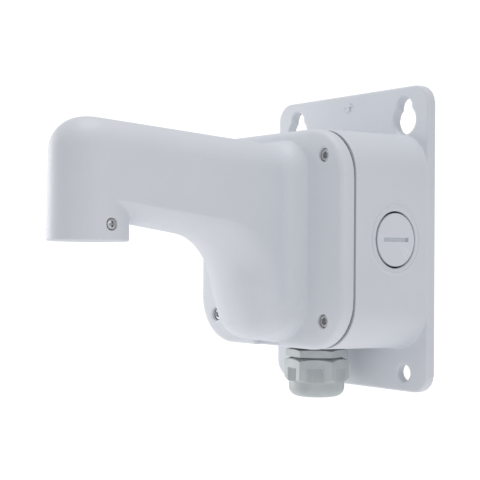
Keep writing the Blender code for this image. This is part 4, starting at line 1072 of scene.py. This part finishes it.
def knurled_head():
    """Rings of a socket head, whose rim goes in and out once for each knurl."""
    rings = []
    levels = (
        (0, FOOT_KNURL, 0),
        (HEAD_FOOT, 1, 0),
        (SCREW_HEAD - HEAD_EDGE, 1, 0),
        (SCREW_HEAD, 0, HEAD_INSET),
    )
    for height, knurl, inset in levels:
        ring = []
        for i in range(KNURL_STEPS * KNURLS):
            angle = 2 * math.pi * i / (KNURL_STEPS * KNURLS)
            wave = KNURL_DEPTH * knurl * math.cos(KNURLS * angle)
            radius = SCREW_HEAD_RADIUS - KNURL_DEPTH + wave - inset
            ring.append((radius * math.cos(angle), radius * math.sin(angle), height))
        rings.append(ring)
    return rings


def socket_screw(number, x, z):
    low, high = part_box(f"arm_screw_{number}")
    seat = (x, low.y + SCREW_HEAD, z)
    head = loft(f"socket_screw_{number}", knurled_head(), TOWARDS_FRONT, seat)
    floor, top = SCREW_HEAD * SOCKET_FLOOR, SCREW_HEAD + CUT
    socket = hexagon("socket", SOCKET_FLATS, floor, top, 0, TOWARDS_FRONT, seat)
    length = high.y - seat[1]
    profile = [(0, SHANK_SUNK), (SCREW_RADIUS, SHANK_SUNK), (SCREW_RADIUS, -length), (0, -length)]
    shank = lathe("shank", profile, TOWARDS_FRONT, seat, FEW_STEPS)
    carve(head, "DIFFERENCE", socket)
    carve(head, "UNION", shank)
    soft_edges(head, FINE_EDGE, 1)
    return finish_piece(head, STEEL, "mount", "stainless_steel", f"arm_screw_{number}")


for number, (x, z) in enumerate(SCREW_PLACES, 1):
    socket_screw(number, x, z)


# %% Spring washers
SPRING_LIFT, SPRING_STEPS, SPRING_GAP = 0.22, 60, math.radians(12)


def spring_washer(number, x, z):
    low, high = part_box(f"spring_washer_{number}")
    thickness = high.y - low.y
    lift = thickness * SPRING_LIFT
    outer, inner = SCREW_HEAD_RADIUS, SCREW_RADIUS + GAP
    rings = []
    for i in range(SPRING_STEPS + 1):
        share = i / SPRING_STEPS
        angle = math.radians(90) + SPRING_GAP / 2 + (2 * math.pi - SPRING_GAP) * share
        base = lift * share
        top = base + thickness - lift
        corners = ((inner, base), (outer, base), (outer, top), (inner, top))
        rings.append([(r * math.cos(angle), r * math.sin(angle), h) for r, h in corners])
    washer = loft(f"spring_washer_piece_{number}", rings, TOWARDS_FRONT, (x, high.y, z))
    soft_edges(washer, RIM_EDGE, 1)
    return finish_piece(washer, STEEL, "mount", "stainless_steel", f"spring_washer_{number}")


for number, (x, z) in enumerate(SCREW_PLACES, 1):
    spring_washer(number, x, z)

# %% [markdown]
# ## Lock screw
# One small cross-head screw bites through the cup's wall into the camera's thread, so
# that the camera can't unwind. Its cross recess is a tapered four-winged plug, so the
# cutter is four tapered wings and not two plain slots.

# %% Lock screw and its washer
LOCK_HEAD_RADIUS, LOCK_HEAD, LOCK_RADIUS = 0.0038, 0.0022, 0.0025
LOCK_DOME_RADIUS, LOCK_DOME_END, LOCK_RIM = 0.0085, 66, 0.0005  # the end in degrees
CROSS_REACH, CROSS_WIDTH, CROSS_DEPTH, CROSS_TAPER = 0.0054, 0.0014, 0.0018, 0.45


def cross_bit(turn, place):
    """The driver's tip: four wings that taper with depth."""
    bm = bmesh.new()
    for quarter in range(4):
        spin = Matrix.Rotation(quarter * math.pi / 2, 4, "Z")
        wing = []
        for height, shrink in ((CUT, 1.0), (0.0, 1.0), (-CROSS_DEPTH, CROSS_TAPER)):
            half, far = CROSS_WIDTH / 2 * shrink, CROSS_REACH / 2 * shrink
            corners = ((0, -half), (far, -half), (far, half), (0, half))
            wing.append([spin @ Vector((x, y, height)) for x, y in corners])
        bridge(bm, wing)
    return solid("bit", bm, turn, place)


def lock_screw():
    seat = (lock_high.x - LOCK_HEAD, LOCK_Y, LOCK_Z)
    length = seat[0] - lock_low.x
    dome = arc((0, LOCK_HEAD - LOCK_DOME_RADIUS), LOCK_DOME_RADIUS, 90, LOCK_DOME_END, 6)
    profile = dome + [(LOCK_HEAD_RADIUS, dome[-1][1] - LOCK_RIM), (LOCK_HEAD_RADIUS, 0)]
    profile += [(LOCK_RADIUS, 0), (LOCK_RADIUS, -length), (0, -length)]
    screw = lathe("lock_screw_piece", profile, TOWARDS_X, seat, SOME_STEPS)
    top = (lock_high.x, LOCK_Y, LOCK_Z)
    bit = cross_bit(TOWARDS_X, top)
    carve(screw, "DIFFERENCE", bit)
    soft_edges(screw, FINE_EDGE, 1)
    return finish_piece(screw, STEEL, "lock_screw", "stainless_steel", "lock_screw")


def plain_washer(name, node, body, hole_radius):
    low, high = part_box(node)
    outer = (high.z - low.z) / 2
    thickness = high.x - low.x
    profile = [(outer, thickness), (outer, 0), (hole_radius, 0), (hole_radius, thickness)]
    middle = (low.x, (low.y + high.y) / 2, (low.z + high.z) / 2)
    washer = soft_edges(lathe(name, profile, TOWARDS_X, middle, SOME_STEPS), THIN_EDGE, 1)
    return finish_piece(washer, STEEL, body, "stainless_steel", node)


lock_screw()
plain_washer("lock_washer_piece", "lock_screw_washer", "lock_washer", LOCK_HOLE_RADIUS)

# %% [markdown]
# ## Side plugs
# A plug is a turned disc with a thread behind it and a slot for a coin. The disc lies
# flush with the port's boss, so what draws it is the narrow dark gap round it and the
# thin bright line of its chamfered rim.

# %% Plugs
PLUG_SLOT_LENGTH, PLUG_SLOT_WIDTH, PLUG_SLOT_DEPTH = 0.0280, 0.0032, 0.0024
PLUG_HEAD, PLUG_WALL, PLUG_RIM, PLUG_TRIM = 0.0040, 0.0030, 0.0005, 0.0003
PLUG_THREAD_RADIUS, PLUG_PITCH, PLUG_THREAD_HEIGHT = 0.0180, 0.0015, 0.0007


def thread_profile(radius, start, end, pitch, height):
    """Rings of a thread's flanks, as crests and roots down a length."""
    turns = int(abs(end - start) / pitch)
    step = (end - start) / turns
    points = []
    for i in range(turns):
        crest = start + step * (i + 0.5)
        points += [(radius - height, start + step * i), (radius, crest)]
    return points + [(radius - height, end)]


def coin_plug(side):
    name = SIDE_NAMES[side]
    low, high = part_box(f"port_plug_{name}")
    turn = side_frame(side)[0]
    top = high.x if side > 0 else low.x
    inner = low.x if side > 0 else high.x
    radius = (high.z - low.z) / 2 - PLUG_TRIM
    length = abs(top - inner) - PLUG_HEAD
    place = (top - side * PLUG_HEAD, PORT_Y, PORT_Z)
    bore = PLUG_THREAD_RADIUS - PLUG_WALL
    profile = [(0, PLUG_HEAD), (radius - PLUG_RIM, PLUG_HEAD)]
    profile += [(radius, PLUG_HEAD - PLUG_RIM), (radius, 0)]
    profile += thread_profile(PLUG_THREAD_RADIUS, 0, -length, PLUG_PITCH, PLUG_THREAD_HEIGHT)
    profile += [(bore, -length), (bore, 0), (0, 0)]
    plug = lathe(f"coin_plug_{name}", profile, turn, place)
    half, width = PLUG_SLOT_LENGTH / 2, PLUG_SLOT_WIDTH / 2
    low_x, high_x = sorted((top - side * PLUG_SLOT_DEPTH, top + side * CUT))
    low_corner = (low_x, PORT_Y - half, PORT_Z - width)
    slot = block("coin_slot", low_corner, (high_x, PORT_Y + half, PORT_Z + width))
    carve(plug, "DIFFERENCE", slot)
    soft_edges(plug, SMALL_EDGE)
    return finish_piece(
        plug, PLUG_COAT, f"{name}_plug", "white_powder_coat", f"port_plug_{name}"
    )


# %% [markdown]
# Round the plug lies a rubber ring, and its lip stands up a little in the gap: that is
# what makes the gap look black. The boss carries a fine raised ring at its edge.

# %% Port seals and rims
SEAL_LIP, LIP_DEPTH, LIP_ROUND = 0.00105, 0.0022, 0.0003
SEAL_HEIGHT, SEAL_CLEARANCE, SEAL_BORE_GAP = 0.0020, 0.0001, 0.0004
RIM_PROUD, RIM_WIDTH, RIM_SUNK = 0.0004, 0.0020, 0.0005


def gap_seal(side):
    """The rubber ring round the plug, with a lip that stands up in the gap."""
    name = SIDE_NAMES[side]
    turn, face, edge = side_frame(side)
    inner, outer = PORT_RECESS_RADIUS - SEAL_LIP, PORT_RECESS_RADIUS - SEAL_CLEARANCE
    bore = PORT_THREAD_RADIUS + SEAL_BORE_GAP
    base, top = SEAL_CLEARANCE - PORT_SEAT_DEPTH, SEAL_HEIGHT - PORT_SEAT_DEPTH
    lip = -LIP_DEPTH
    profile = [
        (outer, lip - LIP_ROUND),
        (outer, base),
        (bore, base),
        (bore, top),
        (inner, top),
        (inner, lip - LIP_ROUND),
        ((inner + outer) / 2, lip),
    ]
    seal = soft_edges(lathe(f"gap_seal_{name}", profile, turn, face), THIN_EDGE, 1)
    return finish_piece(seal, RUBBER, f"{name}_seal", "black_rubber", f"port_seal_{name}")


def port_rim(side):
    """A fine raised ring at the edge of the port's boss, too low for the voxels."""
    turn, face, edge = side_frame(side)
    inner, outer, low = PORT_BOSS_RADIUS - RIM_WIDTH, PORT_BOSS_RADIUS - edge, -RIM_SUNK
    profile = [(outer, RIM_PROUD), (outer, low), (inner, low), (inner, RIM_PROUD)]
    rim = soft_edges(lathe("port_rim", profile, turn, face), RIM_EDGE)
    return finish_piece(rim, WHITE_COAT, "mount", "white_powder_coat")


for side in SIDE_NAMES:
    coin_plug(side)
    gap_seal(side)
    port_rim(side)

# %% [markdown]
# ## Cable gland
# The gland is bought in: a hexagonal collar screwed into the box, and a dome nut that
# squeezes a rubber bush round the cable. A moulded hexagon has its corners taken off by
# a cone, which leaves a wavy edge with one shallow scallop per face. Cutting the prism
# with a lathed cone gives exactly that, and no modelled curve would fit as well.

# %% Gland sizes
GLAND_TURN = math.radians(-45)
COLLAR_FLATS, NUT_FLATS = 0.0458, 0.0470
body_low, body_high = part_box("gland_body")
nut_low, nut_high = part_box("gland_dome_nut")
NUT_HEX = 0.0197
DOME_RADIUS, DOME_MOUTH_RADIUS, DOME_WALL = 0.0233, 0.0125, 0.0026
NUT_THREAD_RADIUS = 0.0208
COLLAR_HEIGHT = 0.0063
COLLAR_TOP_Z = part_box("gland_port_seal")[0].z - GAP
GLAND_AXIS = (0, PORT_Y, 0)
GLAND_CUP_RADIUS, GLAND_CUP_DEPTH, GLAND_BORE_RADIUS = 0.0181, 0.0130, 0.0140
GLAND_SLEEVE_RADIUS, GLAND_THREAD_PITCH, GLAND_THREAD_HEIGHT = 0.0200, 0.0015, 0.0007
CONE_STEPS = 144
FACE_INSET = 0.0004  # how far a cone starts inside the hexagon's flat
print("dome nut", round(1000 * (nut_high.z - nut_low.z), 1), "mm tall")


# %% Coned hexagons
def coned_hexagon(name, flats, low_z, high_z, top_cone, bottom_cone):
    """A hexagon round the gland's axis whose corners are taken off by a cone at each end,
    each given by its rise over its run."""
    corner = flats / 2 / math.cos(math.radians(30))
    prism = hexagon(name, flats, low_z, high_z, GLAND_TURN, place=GLAND_AXIS)
    face, far = flats / 2 - FACE_INSET, corner + CUT
    profile = [
        (0, high_z),
        (face, high_z),
        (far, high_z - (far - face) * top_cone),
        (far, low_z + (far - face) * bottom_cone),
        (face, low_z),
        (0, low_z),
    ]
    cone = lathe("cone", profile, place=GLAND_AXIS, steps=CONE_STEPS)
    return carve(prism, "INTERSECT", cone)


def gland_hole(top_z, radius, depth):
    profile = [(0, CUT), (radius, CUT), (radius, -depth), (0, -depth)]
    return lathe("hole", profile, place=(0, PORT_Y, top_z))


COLLAR_HOLE_RADIUS, COLLAR_HOLE_DEPTH = 0.019, 0.02
COLLAR_CONES, NUT_CONES = (0.3, 0.58), (0.45, 0.9)


def gland_collar_piece():
    low_z = COLLAR_TOP_Z - COLLAR_HEIGHT
    collar = coned_hexagon("gland_body_piece", COLLAR_FLATS, low_z, COLLAR_TOP_Z, *COLLAR_CONES)
    cup_z = body_low.z + GLAND_CUP_DEPTH
    profile = [(GLAND_SLEEVE_RADIUS, body_high.z), (GLAND_SLEEVE_RADIUS, low_z)]
    profile += thread_profile(
        NUT_THREAD_RADIUS, low_z, body_low.z, GLAND_THREAD_PITCH, GLAND_THREAD_HEIGHT
    )
    profile += [
        (GLAND_CUP_RADIUS, body_low.z),
        (GLAND_CUP_RADIUS, cup_z),
        (GLAND_BORE_RADIUS, cup_z),
        (GLAND_BORE_RADIUS, body_high.z),
    ]
    sleeve = lathe("sleeve", profile, place=GLAND_AXIS)
    hole = gland_hole(COLLAR_TOP_Z, COLLAR_HOLE_RADIUS, COLLAR_HOLE_DEPTH)
    carve(collar, "DIFFERENCE", hole)
    carve(collar, "UNION", sleeve)
    soft_edges(collar)
    return finish_piece(collar, NYLON, "mount", "grey_nylon", "gland_body")


gland_collar_piece()

# %% [markdown]
# The nut's faces carry a block of fine grip ribs on their lower part. Sixty Booleans
# would be slow for so little, so the ribs are thin rounded bars that sink into the nut,
# and they are joined to it as loose parts of one mesh.

# %% Dome nut
RIBS, RIB_PITCH, RIB_WIDTH, RIB_PROUD = 10, 0.0015, 0.00062, 0.0004
RIB_LENGTH, RIB_FOOT, RIB_SUNK = 0.0120, 0.0012, 0.0008
NUT_HOLE_RADIUS, NUT_HOLE_DEPTH, DOME_EDGE, MOUTH_EDGE = 0.0216, 0.03, 0.0077, 0.0006


def dome_profile():
    """Outside down the dome, then back up the inside of the nut."""
    bottom, top = nut_low.z, nut_high.z
    inner, mouth = NUT_THREAD_RADIUS + GAP, DOME_MOUTH_RADIUS
    seat_z = body_low.z - GAP
    outside = [(DOME_RADIUS, top), (DOME_RADIUS, bottom + DOME_EDGE)]
    outside += arc((DOME_RADIUS - DOME_EDGE, bottom + DOME_EDGE), DOME_EDGE, 0, -90, 14)[1:]
    outside += [(mouth + MOUTH_EDGE, bottom), (mouth, bottom + MOUTH_EDGE)]
    inside = [
        (mouth, bottom + DOME_WALL),
        (GLAND_CUP_RADIUS, bottom + DOME_WALL),
        (GLAND_CUP_RADIUS, seat_z - DOME_WALL),
        (inner, seat_z),
        (inner, top),
    ]
    return outside + inside


def grip_ribs(hex_bottom):
    """Thin bars on each of the six faces, rounded by their six-sided section."""
    bm = bmesh.new()
    out, half = NUT_FLATS / 2, RIB_WIDTH / 2
    for face in range(6):
        spin = Matrix.Rotation(GLAND_TURN + face * math.pi / 3, 4, "Z")
        for rib in range(RIBS):
            across = (rib - (RIBS - 1) / 2) * RIB_PITCH
            profile = (
                (out - RIB_SUNK, -half),
                (out + RIB_PROUD * 0.5, -half),
                (out + RIB_PROUD, -half * 0.4),
                (out + RIB_PROUD, half * 0.4),
                (out + RIB_PROUD * 0.5, half),
                (out - RIB_SUNK, half),
            )
            rings = []
            for height in (hex_bottom + RIB_LENGTH, hex_bottom + RIB_FOOT):
                ring = [spin @ Vector((x, across + y, height)) for x, y in profile]
                rings.append([point + Vector(GLAND_AXIS) for point in ring])
            bridge(bm, rings)
    bmesh.ops.recalc_face_normals(bm, faces=bm.faces)
    mesh = bpy.data.meshes.new("ribs")
    bm.to_mesh(mesh)
    bm.free()
    return mesh


def dome_nut_piece():
    hex_bottom = nut_high.z - NUT_HEX
    nut = coned_hexagon("dome_nut_piece", NUT_FLATS, hex_bottom, nut_high.z, *NUT_CONES)
    carve(nut, "DIFFERENCE", gland_hole(nut_high.z, NUT_HOLE_RADIUS, NUT_HOLE_DEPTH))
    carve(nut, "UNION", lathe("dome", dome_profile(), place=GLAND_AXIS, steps=CONE_STEPS))
    soft_edges(nut)
    bm = bmesh.new()
    bm.from_mesh(nut.data)
    rib_mesh = grip_ribs(hex_bottom)
    rib_mesh.shade_smooth()
    rib_mesh.set_sharp_from_angle(angle=math.radians(50))
    bm.from_mesh(rib_mesh)
    bm.to_mesh(nut.data)
    bm.free()
    bpy.data.meshes.remove(rib_mesh)
    return finish_piece(nut, NYLON, "gland_nut", "grey_nylon", "gland_dome_nut")


dome_nut_piece()

# %% [markdown]
# Inside the nut sit a clamping ring, slit into fingers, and the rubber bush that they
# squeeze. Both show only from straight below, through the nut's mouth.

# %% Clamping ring and bush
RING_WALL, RING_CHAMFER = 0.0022, 0.0022
SLITS, SLIT_WIDTH, SLIT_DEPTH, SLIT_REACH = 8, 0.0014, 0.012, 0.04
BUSH_BORE_RADIUS, BUSH_LIP, BUSH_RIBS = 0.0085, 0.0008, 4


def clamp_ring_piece():
    low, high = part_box("gland_clamp_ring")
    outer = (high.x - low.x) / 2
    inner = outer - RING_WALL
    profile = [(outer - RING_WALL / 2, low.z), (outer, low.z + RING_CHAMFER), (outer, high.z)]
    profile += [(inner, high.z), (inner, low.z)]
    ring = lathe("clamp_ring_piece", profile, place=GLAND_AXIS)
    for i in range(SLITS // 2):
        near = (-SLIT_REACH, -SLIT_WIDTH / 2, low.z - CUT)
        slit = block("slit", near, (SLIT_REACH, SLIT_WIDTH / 2, low.z + SLIT_DEPTH))
        turn = Matrix.Rotation(2 * math.pi * (i + 0.5) / SLITS, 4, "Z")
        slit.data.transform(Matrix.Translation(GLAND_AXIS) @ turn)
        carve(ring, "DIFFERENCE", slit)
    soft_edges(ring, SMALL_EDGE)
    return finish_piece(ring, NYLON, "gland_ring", "grey_nylon", "gland_clamp_ring")


def seal_bush_piece():
    low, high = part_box("gland_seal_bush")
    outer, inner, lip = (high.x - low.x) / 2, BUSH_BORE_RADIUS, BUSH_LIP
    profile = [(outer, high.z), (outer, low.z + lip), (outer - lip, low.z), (inner + lip, low.z)]
    profile += [(inner, low.z + lip)]
    step = (high.z - low.z - 2 * lip) / BUSH_RIBS
    for i in range(BUSH_RIBS):
        start = low.z + lip + i * step
        profile += [(inner + lip, start + step * 0.5), (inner, start + step)]
    bush = soft_edges(lathe("seal_bush_piece", profile, place=GLAND_AXIS), THIN_EDGE, 1)
    return finish_piece(bush, RUBBER, "mount", "black_rubber", "gland_seal_bush")


clamp_ring_piece()
seal_bush_piece()

# %% [markdown]
# ## Pipe thread in the cup
# The camera screws into the cup on a parallel pipe thread of 11 turns to the inch. It is
# a real helix here: a small triangular section swept round and up, sunk into the bore.

# %% Pipe thread
PIPE_PITCH = 0.0254 / 11
PIPE_CREST, PIPE_ROOT = 0.0009, 0.0004
PIPE_STEPS, PIPE_FADE = 72, 10
PIPE_START, PIPE_END = 0.0022, 0.0015  # from the mouth, and from the thread's far end
CREST_FROM, CREST_TO = 0.44, 0.56  # of the pitch


def pipe_thread():
    start = END_MOUTH_Z + PIPE_START
    end = END_MOUTH_Z + MOUTH_THREAD_DEPTH - PIPE_END
    turns = (end - start - PIPE_PITCH) / PIPE_PITCH
    count = int(turns * PIPE_STEPS)
    root = MOUTH_BORE_RADIUS + PIPE_ROOT
    rings = []
    for i in range(count + 1):
        angle = 2 * math.pi * i / PIPE_STEPS
        ends = min(1, i / PIPE_FADE, (count - i) / PIPE_FADE)
        crest = MOUTH_BORE_RADIUS - PIPE_CREST * ends
        base = start + PIPE_PITCH * i / PIPE_STEPS
        corners = (
            (root, base),
            (crest, base + PIPE_PITCH * CREST_FROM),
            (crest, base + PIPE_PITCH * CREST_TO),
            (root, base + PIPE_PITCH),
        )
        rings.append([(r * math.cos(angle), END_Y + r * math.sin(angle), h) for r, h in corners])
    thread = loft("pipe_thread", rings)
    thread.data.shade_smooth()
    thread.data.set_sharp_from_angle(angle=SHARP)
    return finish_piece(thread, WHITE_COAT, "mount", "white_powder_coat")


pipe_thread()

# %% [markdown]
# ## The seal in the joint
# Between box and arm lies a flat black rubber seal. It shows as one thin grey line, since
# light reaches into the joint. That light is painted into the seal's colour, which is mid
# grey and not black, and the seal is drawn nearer to the outside than the frame's seal is.

# %% Seal between box and arm
# Painted light: the black rubber seal is coloured mid grey, for the light that reaches into the
# joint
SEAL_PAINTED_LIGHT = grained_plastic("seal_painted_light_finish", (0.30, 0.31, 0.33), 0.7, 2400.0, 0.0001)
SEAL_INSET, SEAL_WIDTH = 0.0006, 0.0050
SEAL_FROM, SEAL_TO = 0.1, 0.9  # of the joint's width


def box_seal():
    """A flat ring in the joint, as a loft that goes round and closes on itself."""
    rings = []
    near, far = SEAL_INSET, SEAL_INSET + SEAL_WIDTH
    for inset, share in ((near, SEAL_FROM), (near, SEAL_TO), (far, SEAL_TO), (far, SEAL_FROM)):
        y = FLANGE_BACK_Y + (RIM_Y - FLANGE_BACK_Y) * share
        rings.append(outline_ring(y, BOX_WIDTH, BOX_HEIGHT, BOX_CORNER, inset))
    seal = loft("box_seal", rings, closed=True)
    seal.data.shade_smooth()
    seal.data.set_sharp_from_angle(angle=SHARP)
    return finish_piece(seal, SEAL_PAINTED_LIGHT, "mount", "black_rubber", "box_gasket")


box_seal()

# %% [markdown]
# ## The rest of the frame
# The gland's flat seal, its lock nut and the small parts on the box's floor already have
# the right shape, and most of them are hidden. They keep the frame's own meshes, and only
# their finish changes.

# %% Finishes for the frame's own pieces
FINISH_BY_NODE = {
    "gland_port_seal": RUBBER,
    "gland_lock_nut": NYLON,
    "earth_terminal": BRASS,
    "earth_washer": STEEL,
    "earth_screw": STEEL,
    "lanyard_hook": STEEL,
    "lanyard_screw": STEEL,
}
for node, finish in FINISH_BY_NODE.items():
    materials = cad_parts[node].data.materials
    for i in range(len(materials)):
        materials[i] = finish
print("finishes given to", len(FINISH_BY_NODE), "pieces of the frame")
